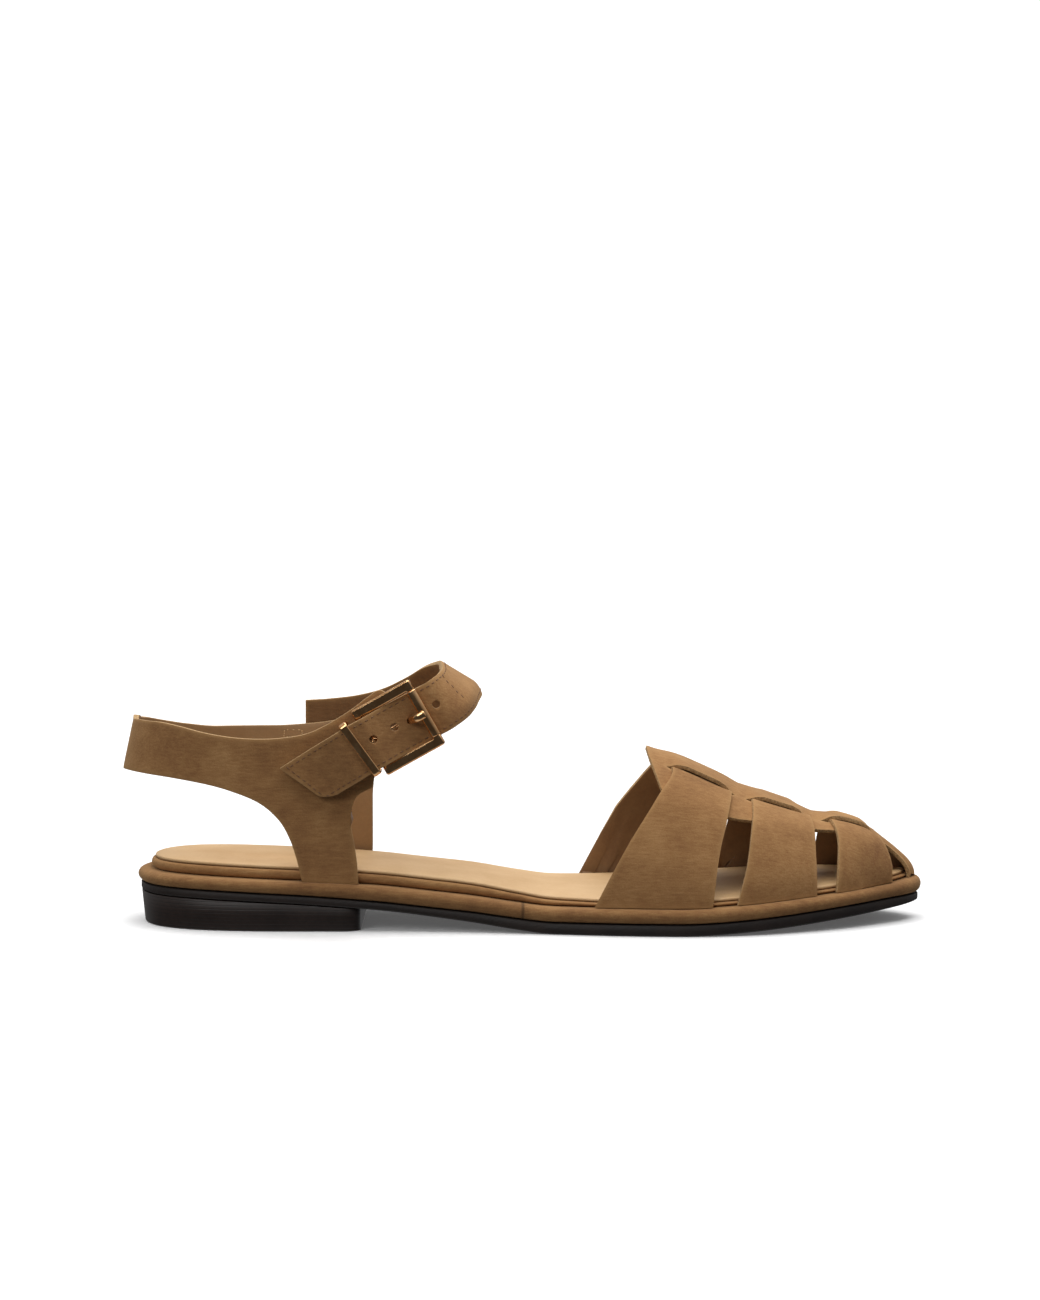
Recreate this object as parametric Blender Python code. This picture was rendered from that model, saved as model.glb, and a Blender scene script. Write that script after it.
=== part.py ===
"""Fisherman sandal for the right foot, in suede with a low stacked heel.

The toe points along +X, the outer (lateral) side is at -Y and the floor is Z = 0. The sole
is a pile of plates that share one plan outline. The upper is cut from the surface of the
last: a woven vamp in front, a quarter with two posts round the heel, and an ankle strap
that is fastened through a buckle on the outer side.
"""

import math

import bmesh
import bpy
import numpy as np
from mathutils import Matrix, Vector

MM = 0.001

# Sole: overall sizes
SOLE_LENGTH = 263.0 * MM
BALL_WIDTH = 80.6 * MM
SEAT_RISE = 10.9 * MM  # underside of the outsole at the heel seat, above the floor
TOE_SPRING = 6.8 * MM  # underside of the outsole at the toe tip, above the floor
OUTSOLE = 3.7 * MM
RAND = 4.8 * MM
FOOTBED = 3.0 * MM
SOCK = 1.0 * MM

# Clearances
FIT = 0.3 * MM  # between pieces that touch on the real sandal

# Sole: steps between the plates, each measured inwards from the rand's outline
OUTSOLE_STEP = 1.0 * MM
OUTSOLE_BEVEL = 0.6 * MM
STRAP_STEP = 2.4 * MM  # to the outer face of the straps, where they reach the rand
SOCK_STEP = 1.3 * MM  # from the footbed's edge to the sock's
HEEL_STEP = 1.2 * MM
HEEL_TAPER = 1.0 * MM
HEEL_BREAST = 75.5 * MM  # front face of the heel, from the back of the sole
HEEL_CORNER = 6.0 * MM

# Upper
WALL = 1.6 * MM  # suede with its lining, in the vamp
QUARTER_WALL = 1.8 * MM
LAP = 0.4 * MM  # depth to which crossing straps are joined
INSTEP = 46.5 * MM  # crown of the last above the rand, at the back of the vamp

OUTLINE_STEPS = 36  # stations along each side of the sole

# Plan of the rand: half widths to each side of the heel-to-toe line
PLAN_COLUMNS = ("station", "lateral", "medial")  # shares of SOLE_LENGTH and BALL_WIDTH
PLAN = (
    (0.00, 0.000, 0.000),
    (0.02, 0.198, 0.198),
    (0.06, 0.301, 0.301),
    (0.12, 0.355, 0.355),
    (0.20, 0.373, 0.367),
    (0.28, 0.373, 0.350),
    (0.36, 0.376, 0.332),
    (0.44, 0.391, 0.332),
    (0.52, 0.427, 0.361),
    (0.60, 0.469, 0.422),
    (0.68, 0.492, 0.481),
    (0.74, 0.481, 0.506),
    (0.80, 0.438, 0.496),
    (0.86, 0.357, 0.439),
    (0.91, 0.267, 0.363),
    (0.95, 0.171, 0.276),
    (0.98, 0.087, 0.187),
    (1.00, -0.050, 0.050),
)

# Side view of the sole, heel to toe. Seat and spring are shares of SEAT_RISE and
# TOE_SPRING, and the rest shares of OUTSOLE, RAND and FOOTBED.
SIDE_COLUMNS = ("station", "seat", "spring", "outsole", "rand", "footbed")
SIDE = (
    (0.00, 1.00, 0.00, 0.70, 0.88, 1.00),
    (0.08, 0.98, 0.00, 0.70, 0.88, 1.00),
    (0.20, 0.86, 0.00, 0.70, 0.90, 1.00),
    (0.27, 0.74, 0.00, 0.70, 1.00, 1.00),
    (0.33, 0.61, 0.00, 0.70, 1.05, 1.00),
    (0.38, 0.46, 0.00, 0.75, 1.05, 1.00),
    (0.43, 0.30, 0.00, 0.86, 1.04, 0.95),
    (0.48, 0.12, 0.00, 0.95, 1.02, 0.75),
    (0.53, 0.00, 0.00, 1.00, 1.00, 0.52),
    (0.60, 0.00, 0.00, 1.00, 0.98, 0.38),
    (0.69, 0.00, 0.00, 1.00, 0.98, 0.36),
    (0.75, 0.00, 0.10, 1.00, 1.00, 0.36),
    (0.83, 0.00, 0.34, 1.00, 0.98, 0.36),
    (0.90, 0.00, 0.60, 0.98, 0.90, 0.36),
    (0.96, 0.00, 0.83, 0.92, 0.84, 0.36),
    (1.00, 0.00, 1.00, 0.85, 0.80, 0.36),
)

# Crown of the last over the forefoot: height is a share of INSTEP above the rand, drift a
# share of BALL_WIDTH towards the medial side, and fullness the roundness of the section
# (2 is an ellipse).
CROWN_COLUMNS = ("station", "height", "drift", "fullness")
CROWN = (
    (0.55, 1.190, 0.020, 2.0),
    (0.62, 1.070, 0.025, 2.0),
    (0.66, 1.000, 0.025, 2.0),
    (0.70, 0.918, 0.025, 2.0),
    (0.75, 0.780, 0.028, 2.0),
    (0.80, 0.642, 0.030, 2.05),
    (0.86, 0.500, 0.035, 2.1),
    (0.90, 0.434, 0.039, 2.1),
    (0.93, 0.370, 0.043, 2.1),
    (0.96, 0.262, 0.047, 2.1),
    (0.985, 0.140, 0.049, 2.1),
    (1.00, 0.000, 0.050, 2.1),
)


def turn_of(station):
    """Angle whose cosine spacing crowds the stations at the heel and the toe."""
    return math.acos(max(-1.0, min(1.0, 1.0 - 2.0 * station)))


def station_of(turn):
    """Share of the length that an angle from turn_of stands for."""
    return (1.0 - math.cos(turn)) / 2.0


def smooth_column(columns, table, name, key=lambda value: value):
    """A smooth function through one named column of a table, over key(first column)."""
    place = columns.index(name)
    xs = [key(row[0]) for row in table]
    ys = [row[place] for row in table]
    slopes = []
    for i in range(len(xs)):
        low, high = max(0, i - 1), min(len(xs) - 1, i + 1)
        slopes.append((ys[high] - ys[low]) / (xs[high] - xs[low]))
    flat_before = [i for i in range(1, len(xs)) if ys[i] == ys[i - 1]]
    for i in flat_before:
        slopes[i] = slopes[i - 1] = 0.0

    def read(x):
        x = min(max(x, xs[0]), xs[-1])
        i = min(max(int(np.searchsorted(xs, x)) - 1, 0), len(xs) - 2)
        width = xs[i + 1] - xs[i]
        t = (x - xs[i]) / width
        return (
            ys[i] * (2 * t**3 - 3 * t**2 + 1)
            + slopes[i] * width * (t**3 - 2 * t**2 + t)
            + ys[i + 1] * (3 * t**2 - 2 * t**3)
            + slopes[i + 1] * width * (t**3 - t**2)
        )

    return read


plan_lateral = smooth_column(PLAN_COLUMNS, PLAN, "lateral", turn_of)
plan_medial = smooth_column(PLAN_COLUMNS, PLAN, "medial", turn_of)
side_seat = smooth_column(SIDE_COLUMNS, SIDE, "seat")
side_spring = smooth_column(SIDE_COLUMNS, SIDE, "spring")
side_outsole = smooth_column(SIDE_COLUMNS, SIDE, "outsole")
side_rand = smooth_column(SIDE_COLUMNS, SIDE, "rand")
side_footbed = smooth_column(SIDE_COLUMNS, SIDE, "footbed")
crown_height = smooth_column(CROWN_COLUMNS, CROWN, "height", turn_of)
crown_drift = smooth_column(CROWN_COLUMNS, CROWN, "drift", turn_of)
crown_fullness = smooth_column(CROWN_COLUMNS, CROWN, "fullness", turn_of)


def rand_edge(turn, side):
    """Plan point of the rand's outline. side is -1 for lateral and +1 for medial."""
    half = plan_lateral(turn) if side < 0 else plan_medial(turn)
    return Vector((SOLE_LENGTH * station_of(turn), side * half * BALL_WIDTH))


def edge_point(turn, side, inset):
    """Plan point of the outline, moved inwards at right angles by inset."""
    step = 0.01
    low, high = max(turn - step, 0.0), min(turn + step, math.pi)
    along = rand_edge(high, side) - rand_edge(low, side)
    if turn <= step:
        along = Vector((0.0, side))
    if turn >= math.pi - step:
        along = Vector((0.0, -side))
    inward = Vector((along.y, -along.x)).normalized() * side
    return rand_edge(turn, side) + inward * inset


def floor_line(x):
    """Underside of the outsole at x."""
    s = x / SOLE_LENGTH
    return side_seat(s) * SEAT_RISE + side_spring(s) * TOE_SPRING


def rand_bottom(x):
    return floor_line(x) + side_outsole(x / SOLE_LENGTH) * OUTSOLE + FIT


def rand_top(x):
    return rand_bottom(x) + side_rand(x / SOLE_LENGTH) * RAND


def footbed_top(x):
    return rand_top(x) + FIT + side_footbed(x / SOLE_LENGTH) * FOOTBED


def last_point(turn, around, inset=STRAP_STEP + WALL):
    """Point of the last over the forefoot.

    around runs from -1 at the lateral feather edge over 0 at the crown to +1 at the medial
    feather edge.
    """
    side = -1 if around < 0 else 1
    foot = edge_point(turn, side, inset)
    span = SOLE_LENGTH - 2 * inset
    x = inset + span * station_of(turn)
    crown_y = crown_drift(turn) * BALL_WIDTH
    base = rand_top(x) + FIT
    rise = (1.0 - abs(around)) * math.pi / 2.0
    power = 2.0 / crown_fullness(turn)
    out = max(math.cos(rise), 0.0) ** power
    up = max(math.sin(rise), 0.0) ** power
    return Vector((
        x + (foot.x - x) * out,
        crown_y + (foot.y - crown_y) * out,
        base + INSTEP * crown_height(turn) * up,
    ))


# Plates of the sole

SIDE_TURNS = [math.pi * i / OUTLINE_STEPS for i in range(OUTLINE_STEPS + 1)]


def outline(inset, height, shift=0.0):
    """Closed loop round the sole: the heel point, the lateral side, the toe point, back."""
    lateral = [edge_point(turn, -1, inset) for turn in SIDE_TURNS]
    medial = [edge_point(turn, 1, inset) for turn in SIDE_TURNS[-2:0:-1]]
    return [Vector((p.x, p.y, height(p.x) + shift)) for p in lateral + medial]


def mesh_object(name, verts, faces, material):
    """A named object in its own material, with its normals facing outwards."""
    mesh = bpy.data.meshes.new(name)
    mesh.from_pydata([tuple(v) for v in verts], [], faces)
    work = bmesh.new()
    work.from_mesh(mesh)
    bmesh.ops.remove_doubles(work, verts=work.verts, dist=1e-6)
    bmesh.ops.recalc_face_normals(work, faces=work.faces)
    work.to_mesh(mesh)
    work.free()
    mesh.materials.append(material)
    made = bpy.data.objects.new(name, mesh)
    bpy.context.scene.collection.objects.link(made)
    return made


def plate(name, loops, material):
    """A closed solid from a stack of outlines, bottom loop first."""
    count = len(loops[0])
    half = count // 2
    verts = [p for loop in loops for p in loop]
    faces = []
    for level in range(len(loops) - 1):
        low, high = level * count, (level + 1) * count
        for i in range(count):
            j = (i + 1) % count
            faces.append((low + i, low + j, high + j, high + i))
    for start in (0, (len(loops) - 1) * count):
        for i in range(half):
            a, b = start + i, start + i + 1
            c, d = start + (count - i - 1) % count, start + (count - i) % count
            ring = [a, b]
            if b != c:
                ring.append(c)
            if d != a:
                ring.append(d)
            faces.append(tuple(ring))
    return mesh_object(name, verts, faces, material)


def rounded_plate(name, inset, bottom, thickness, material, rings=6, bulge=0.5):
    """A plate with a rounded edge, between bottom(x) and bottom(x) + thickness(x)."""
    loops = []
    for k in range(rings + 1):
        lean = -math.pi / 2 + math.pi * k / rings
        share = (1.0 + math.sin(lean)) / 2.0

        def height(x, share=share):
            return bottom(x) + thickness(x) * share

        depth = bulge * thickness(SOLE_LENGTH / 2) * (1.0 - math.cos(lean))
        loops.append(outline(inset + depth, height))
    return plate(name, loops, material)


def material(name, colour, roughness, metallic=0.0):
    made = bpy.data.materials.new(name)
    made.use_nodes = True
    shader = made.node_tree.nodes["Principled BSDF"]
    shader.inputs["Base Color"].default_value = (*colour, 1.0)
    shader.inputs["Roughness"].default_value = roughness
    shader.inputs["Metallic"].default_value = metallic
    return made


# Sheets: leather parts cut from a surface


def slab(name, outer, inner, faces, material_used):
    """A closed sheet. outer and inner hold the same points on its two faces."""
    count = len(outer)
    edges = {}
    for face in faces:
        for i, a in enumerate(face):
            b = face[(i + 1) % len(face)]
            edges.setdefault((min(a, b), max(a, b)), []).append((a, b))
    solid = [tuple(face) for face in faces]
    solid += [tuple(count + i for i in reversed(face)) for face in faces]
    for uses in edges.values():
        if len(uses) == 1:
            a, b = uses[0]
            solid.append((b, a, a + count, b + count))
    return mesh_object(name, list(outer) + list(inner), solid, material_used)


def grid_faces(rows, columns, start=0):
    """Quads of a grid whose points are stored row by row."""
    faces = []
    for i in range(rows - 1):
        for j in range(columns - 1):
            a = start + i * columns + j
            faces.append((a, a + 1, a + columns + 1, a + columns))
    return faces


def grid_normals(grid, outward):
    """Normals of a grid of points, turned to the side on which outward(point) lies."""
    rows, columns = len(grid), len(grid[0])
    normals = []
    for i in range(rows):
        line = []
        for j in range(columns):
            along = grid[min(i + 1, rows - 1)][j] - grid[max(i - 1, 0)][j]
            across = grid[i][min(j + 1, columns - 1)] - grid[i][max(j - 1, 0)]
            normal = along.cross(across).normalized()
            if normal.dot(outward(grid[i][j])) < 0:
                normal = -normal
            line.append(normal)
        normals.append(line)
    return normals


def sheet(name, grid, levels, wall, outward, material_used, floor=None, flat_rows=()):
    """A closed sheet over a grid of points, lifted off it by levels[i][j].

    The rows in flat_rows are lifted straight out from the outer side of the foot.
    """
    normals = grid_normals(grid, outward)
    for i in flat_rows:
        normals[i] = [Vector((0.0, -1.0, 0.0)) for _ in grid[i]]
    outer, inner = [], []
    for i, line in enumerate(grid):
        for j, point in enumerate(line):
            low = point + normals[i][j] * levels[i][j]
            high = point + normals[i][j] * (levels[i][j] + wall)
            if floor is not None:
                low.z = max(low.z, floor(low.x))
                high.z = max(high.z, floor(high.x))
            inner.append(low)
            outer.append(high)
    faces = grid_faces(len(grid), len(grid[0]))
    return slab(name, outer, inner, faces, material_used)


def boolean(target, tool, operation):
    """Join or cut target with tool and remove the tool."""
    tool.display_type = "WIRE"
    tool.hide_render = True
    step = target.modifiers.new("cut", "BOOLEAN")
    step.operation = operation
    step.solver = "EXACT"
    step.object = tool
    depsgraph = bpy.context.evaluated_depsgraph_get()
    done = bpy.data.meshes.new_from_object(target.evaluated_get(depsgraph))
    target.modifiers.clear()
    old = target.data
    target.data = done
    done.name = target.name
    bpy.data.meshes.remove(old)
    bpy.data.objects.remove(tool)
    work = bmesh.new()
    work.from_mesh(done)
    bmesh.ops.remove_doubles(work, verts=work.verts, dist=5e-6)
    bmesh.ops.dissolve_degenerate(work, edges=work.edges, dist=5e-6)
    work.to_mesh(done)
    work.free()


# Vamp: a spine with three cross straps woven through it

# Half widths of the spine and of the slits in it, as shares of BALL_WIDTH
SPINE_COLUMNS = ("station", "half", "slit")
SPINE = (
    (0.650, 0.225, 0.125),
    (0.657, 0.262, 0.145),
    (0.670, 0.292, 0.158),
    (0.700, 0.305, 0.168),
    (0.750, 0.306, 0.172),
    (0.800, 0.262, 0.146),
    (0.850, 0.208, 0.118),
    (0.895, 0.152, 0.088),
    (0.930, 0.110, 0.065),
    (0.955, 0.084, 0.051),
    (0.975, 0.077, 0.047),
    (1.000, 0.075, 0.046),
)

# Edges of the cross straps: stations of the rear and the front edge at places round the
# last, from the lateral feather edge (-1) over the crown (0) to the medial one (+1)
STRAP_COLUMNS = ("around", "rear", "front")
STRAPS = (
    (
        (-1.00, 0.585, 0.727),
        (-0.75, 0.621, 0.735),
        (-0.50, 0.652, 0.750),
        (-0.25, 0.676, 0.760),
        (0.00, 0.688, 0.764),
        (0.25, 0.671, 0.752),
        (0.50, 0.640, 0.738),
        (0.75, 0.598, 0.723),
        (1.00, 0.560, 0.713),
    ),
    (
        (-1.00, 0.759, 0.863),
        (-0.75, 0.773, 0.863),
        (-0.50, 0.780, 0.863),
        (-0.25, 0.785, 0.861),
        (0.00, 0.788, 0.852),
        (0.25, 0.780, 0.850),
        (0.50, 0.770, 0.848),
        (0.75, 0.758, 0.846),
        (1.00, 0.742, 0.844),
    ),
    (
        (-1.00, 0.890, 0.965),
        (-0.75, 0.894, 0.966),
        (-0.50, 0.897, 0.965),
        (-0.25, 0.896, 0.960),
        (0.00, 0.890, 0.944),
        (0.25, 0.886, 0.949),
        (0.50, 0.882, 0.953),
        (0.75, 0.878, 0.953),
        (1.00, 0.874, 0.950),
    ),
)

RAISE = WALL - LAP
RAMP = 3.0 * MM  # length over which a strap climbs over another
SLIT = 2.2 * MM  # length over which it dives through a slit
REAR_CURVE = 0.014  # share of SOLE_LENGTH by which the spine's rear corners lie forward
ROOT_SPACING = 8  # columns from the sole to the spine's edge

spine_half = smooth_column(SPINE_COLUMNS, SPINE, "half")
spine_slit = smooth_column(SPINE_COLUMNS, SPINE, "slit")


def ease(t):
    """Smooth step from 0 to 1."""
    t = min(max(t, 0.0), 1.0)
    return t * t * (3.0 - 2.0 * t)


def around_at(turn, offset):
    """Place round the last that lies offset to the side of the crown line."""
    side = -1 if offset < 0 else 1
    foot = edge_point(turn, side, STRAP_STEP + WALL)
    reach = abs(foot.y - crown_drift(turn) * BALL_WIDTH)
    out = min(abs(offset) / max(reach, 1e-6), 1.0)
    rise = math.acos(out ** (crown_fullness(turn) / 2.0))
    return side * (1.0 - rise * 2.0 / math.pi)


def off_the_foot(point):
    """Direction from the inside of the foot to a point of the vamp."""
    station = min(point.x / SOLE_LENGTH, 0.93)
    return point - Vector((station * SOLE_LENGTH, 0.05 * BALL_WIDTH, 0.32 * INSTEP))


def strap_floor(x):
    return rand_top(x) + FIT


def woven_strap(name, table, material_used):
    """One cross strap: over the spine's margins and under its middle."""
    rear = smooth_column(STRAP_COLUMNS, table, "rear")
    front = smooth_column(STRAP_COLUMNS, table, "front")
    marks = []
    for side in (-1, 1):
        line = [(side, None, k / ROOT_SPACING, 0.0) for k in range(ROOT_SPACING)]
        line += [(side, "climb", t, ease(t)) for t in (0.0, 0.33, 0.67, 1.0)]
        line += [(side, "over", t, 1.0) for t in (0.5,)]
        line += [(side, "dive", t, 1.0 - ease(t)) for t in (0.0, 0.33, 0.67, 1.0)]
        line += [(side, "under", t, 0.0) for t in (0.5,)]
        if side < 0:
            marks += line + [(side, "under", 1.0, 0.0)]
        else:
            marks += line[::-1]
    grid, levels = [], []
    for side, zone, t, lift in marks:
        points = []
        for k in range(6):
            share = k / 5.0
            around = side * 0.5
            for _ in range(12):
                low, high = rear(around), front(around)
                station = low + (high - low) * share
                turn = turn_of(station)
                half = spine_half(station) * BALL_WIDTH
                slit = spine_slit(station) * BALL_WIDTH
                ends = {
                    None: (None, half + RAMP),
                    "climb": (half + RAMP, half - 0.5 * MM),
                    "over": (half - 0.5 * MM, slit + SLIT / 2),
                    "dive": (slit + SLIT / 2, slit - SLIT / 2),
                    "under": (slit - SLIT / 2, 0.0),
                }[zone]
                if zone is None:
                    around = side + (around_at(turn, side * ends[1]) - side) * t
                else:
                    around = around_at(turn, side * (ends[0] + (ends[1] - ends[0]) * t))
            points.append(last_point(turn, around))
        grid.append(points)
        levels.append([lift * RAISE] * 6)
    return sheet(name, grid, levels, WALL, off_the_foot, material_used, strap_floor)


def spine_lift(station):
    """How far the middle of the spine is lifted by the straps under it."""
    lift = 0.0
    for table in STRAPS:
        rear = smooth_column(STRAP_COLUMNS, table, "rear")(0.0) * SOLE_LENGTH
        front = smooth_column(STRAP_COLUMNS, table, "front")(0.0) * SOLE_LENGTH
        x = station * SOLE_LENGTH
        lift = max(lift, ease(min(x - rear + RAMP, front + RAMP - x) / RAMP))
    return lift


def spine_end(share):
    """Angle at which a lengthwise line of the spine reaches the sole at the toe."""
    low, high = turn_of(0.95), math.pi
    side = -1 if share < 0 else 1
    for _ in range(40):
        turn = (low + high) / 2
        foot = edge_point(turn, side, STRAP_STEP + WALL)
        reach = (foot.y - crown_drift(turn) * BALL_WIDTH) * side
        if reach > abs(share) * spine_half(station_of(turn)) * BALL_WIDTH:
            low = turn
        else:
            high = turn
    return low


def spine(name, material_used):
    """The piece that runs from the instep to the toe tip."""
    last_row, last_station = 31, 0.94
    cuts = (("margin", 1.0), ("margin", 0.5), ("dive", 1.0), ("dive", 0.5), ("dive", 0.0))
    cuts += (("middle", 0.67), ("middle", 0.33), ("middle", 0.0))
    across = [(-1, *cut) for cut in cuts] + [(1, *cut) for cut in cuts[-2::-1]]
    grid, levels = [], []
    toe_rows = 8
    for i in range(last_row + 1 + toe_rows):
        points, lifts = [], []
        for side, zone, t in across:
            if i <= last_row:
                out = {"margin": 0.6 + 0.4 * t, "dive": 0.5 + 0.1 * t, "middle": 0.5 * t}[zone]
                first = SPINE[0][0] + REAR_CURVE * out**3
                turn = turn_of(first + (last_station - first) * i / last_row)
            else:
                q = math.sin((i - last_row) / toe_rows * math.pi / 2)
                start = turn_of(last_station)
                half = spine_half(1.0) * BALL_WIDTH
                slit = spine_slit(1.0) * BALL_WIDTH
                share = {
                    "margin": slit + SLIT / 2 + (half - slit - SLIT / 2) * t,
                    "dive": slit - SLIT / 2 + SLIT * t,
                    "middle": (slit - SLIT / 2) * t,
                }[zone] / half
                turn = start + (spine_end(side * share) - start) * q
            station = station_of(turn)
            half = spine_half(station) * BALL_WIDTH
            slit = spine_slit(station) * BALL_WIDTH
            edge = min(slit + SLIT / 2, half - 0.3 * MM)
            offset = {
                "margin": edge + (half - edge) * t,
                "dive": slit - SLIT / 2 + (edge - slit + SLIT / 2) * t,
                "middle": (slit - SLIT / 2) * t,
            }[zone]
            points.append(last_point(turn, around_at(turn, side * offset)))
            inside = {"margin": 0.0, "dive": 1.0 - ease(t), "middle": 1.0}[zone]
            lifts.append(RAISE * inside * spine_lift(station))
        grid.append(points)
        levels.append(lifts)
    return sheet(name, grid, levels, WALL, off_the_foot, material_used, strap_floor)


# Quarter: a band round the heel that stands on two posts

ANKLE = 67.2 * MM  # top of the ankle strap above the rand at the heel
HEEL_LEAN = 6.4 * MM  # how far the band bulges out behind the sole
HEEL_WAIST = 0.06  # share by which the quarter narrows towards its top, at the back

# Sections of the band from the back of the heel forwards. Stations are shares of
# SOLE_LENGTH and heights shares of ANKLE above the rand at the heel.
BAND_COLUMNS = ("low", "low_height", "high", "high_height")
BAND_NEAR = (
    (0.000, 0.478, 0.000, 0.742),
    (0.003, 0.478, 0.003, 0.744),
    (0.012, 0.482, 0.012, 0.750),
    (0.035, 0.485, 0.035, 0.752),
    (0.070, 0.477, 0.065, 0.735),
    (0.112, 0.448, 0.105, 0.697),
    (0.145, 0.408, 0.140, 0.678),
    (0.172, 0.356, 0.175, 0.673),
    (0.192, 0.277, 0.210, 0.683),
    (0.215, 0.272, 0.232, 0.701),
    (0.240, 0.268, 0.252, 0.737),
    (0.258, 0.262, 0.272, 0.789),
    (0.276, 0.252, 0.290, 0.848),
    (0.277, 0.330, 0.303, 0.899),
    (0.284, 0.399, 0.315, 0.920),
    (0.303, 0.442, 0.325, 0.890),
)
BAND_FAR = (
    (0.000, 0.478, 0.000, 0.742),
    (0.003, 0.478, 0.003, 0.744),
    (0.012, 0.482, 0.012, 0.750),
    (0.035, 0.485, 0.035, 0.745),
    (0.070, 0.477, 0.065, 0.722),
    (0.112, 0.448, 0.105, 0.684),
    (0.145, 0.408, 0.140, 0.666),
    (0.172, 0.356, 0.175, 0.660),
    (0.192, 0.285, 0.208, 0.664),
    (0.215, 0.282, 0.230, 0.672),
    (0.240, 0.284, 0.252, 0.686),
    (0.268, 0.288, 0.276, 0.702),
    (0.294, 0.292, 0.296, 0.722),
    (0.298, 0.360, 0.306, 0.730),
    (0.304, 0.440, 0.316, 0.724),
    (0.312, 0.520, 0.322, 0.690),
)
POST_FIRST, POST_LAST = 8, 12  # sections of the band that stand on a post

# Posts from the band down to the sole: stations of the rear and front edges, and the share
# of the post's height at which each row lies
POST_COLUMNS = ("share", "rear", "front")
POST_NEAR = (
    (1.00, 0.192, 0.276),
    (0.70, 0.203, 0.2795),
    (0.35, 0.210, 0.2832),
    (0.00, 0.2145, 0.2848),
)
POST_FAR = (
    (1.00, 0.192, 0.294),
    (0.70, 0.205, 0.296),
    (0.35, 0.214, 0.297),
    (0.00, 0.220, 0.293),
)


def ankle_height(share):
    """Height above the floor of a share of ANKLE above the rand at the heel."""
    return rand_top(0.0) + share * ANKLE


def heel_point(station, side, height, inset):
    """Point of the quarter's surface at a height above the floor."""
    turn = turn_of(station)
    foot = edge_point(turn, side, inset)
    rise = min(max((height - rand_top(foot.x)) / (0.55 * ANKLE), 0.0), 1.35)
    bulge = HEEL_LEAN * math.sin(min(rise, 1.0) * math.pi / 2) * (1.0 - 0.7 * max(rise - 0.9, 0.0))
    back = math.cos(min(turn / 1.1, 1.0) * math.pi / 2)
    waist = 1.0 - HEEL_WAIST * ease(rise) * back
    return Vector((foot.x - bulge * back, foot.y * waist, height))


def quarter(name, material_used):
    """The band and its two posts in one sheet."""
    outer, inner, faces = [], [], []
    insets = (STRAP_STEP, STRAP_STEP + QUARTER_WALL)

    def add(station, side, height):
        outer.append(heel_point(station, side, height, insets[0]))
        inner.append(heel_point(station, side, height, insets[1]))
        return len(outer) - 1

    sections = [(-1, row) for row in BAND_NEAR[::-1]] + [(1, row) for row in BAND_FAR[1:]]
    rows = 5
    index = []
    for side, row in sections:
        low, low_height, high, high_height = row
        line = []
        for k in range(rows):
            t = k / (rows - 1)
            height = ankle_height(low_height + (high_height - low_height) * t)
            line.append(add(low + (high - low) * t, side, height))
        index.append(line)
    for i in range(len(index) - 1):
        for k in range(rows - 1):
            faces.append((index[i][k], index[i + 1][k], index[i + 1][k + 1], index[i][k + 1]))
    back = len(BAND_NEAR) - 1
    for side, table in ((-1, POST_NEAR), (1, POST_FAR)):
        picks = range(POST_FIRST, POST_LAST + 1)
        above = [index[back + side * pick][0] for pick in picks]
        band = BAND_NEAR if side < 0 else BAND_FAR
        for share, rear, front in table[1:]:
            line = []
            for k, pick in enumerate(picks):
                t = k / (len(picks) - 1)
                station = rear + (front - rear) * t
                foot = strap_floor(edge_point(turn_of(station), side, insets[0]).x)
                top = ankle_height(band[pick][1])
                line.append(add(station, side, foot + (top - foot) * share))
            for k in range(len(line) - 1):
                faces.append((above[k], above[k + 1], line[k + 1], line[k]))
            above = line
    return slab(name, outer, inner, faces, material_used)


# Buckle: its own axes lie in the outer face of the quarter, a along the ankle strap, b
# across it and n away from the foot

STRAP_SHIFT = 0.3 * MM  # of the strap's middle across the buckle, at the keeper
TAIL_SKEW = 0.049  # its drift behind the keeper, per length along the strap
FRONT_SKEW = -0.026  # the same in front of it
BUCKLE_STATION = 0.3375
BUCKLE_HEIGHT = 0.744  # share of ANKLE
STRAP_SLOPE = math.radians(30.0)
STRAP_WIDTH = 17.0 * MM
STRAP_WALL = 1.8 * MM
FRAME_LONG = 21.9 * MM
FRAME_WIDE = 24.2 * MM
FRAME_CORNER = 1.4 * MM
FRAME_MIDDLE = -0.4 * MM  # of the frame along the strap
FRAME_SHIFT = 0.2 * MM  # of the frame across the strap
RAIL_WIDE = 2.7 * MM
RAIL_DEEP = 1.8 * MM
RAIL_STEP = 0.3 * MM  # over which a rail's section changes to a bar's
BAR = 1.6 * MM  # diameter of the hinge bar and of the bar in the roller
ROLLER = 3.4 * MM
ROLLER_LEVEL = 6.2 * MM  # centre of the roller above the quarter
ROLLER_GAP = 0.7 * MM  # from the roller's ends to the rails
CHAPE_WALL = 0.8 * MM
CHAPE_LONG = 8.6 * MM
CHAPE_WIDE = 13.0 * MM
CHAPE_SLOT = 4.2 * MM
PRONG_WIDE = 2.2 * MM
PRONG_DEEP = 1.3 * MM
KEEPER_GAP = 4.6 * MM  # from the hinge bar back to the keeper
KEEPER_LEAN = math.radians(6.0)
KEEPER_WIDE = 3.0 * MM
KEEPER_BAR = 0.8 * MM
HOLE = 2.6 * MM
HOLE_SPACING = 7.7 * MM
HOLE_SHIFT = 1.5 * MM  # of the round holes from the prong's, along a
HOLE_ASIDE = 0.9 * MM  # of the round holes from the strap's middle line
PRONG_SLOT = 4.8 * MM  # length of the prong's hole
TAIL = 21.4 * MM  # free end of the strap behind the chape
BELLY = 1.2 * MM  # how far the strap's middle stands out where it turns over the instep
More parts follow.
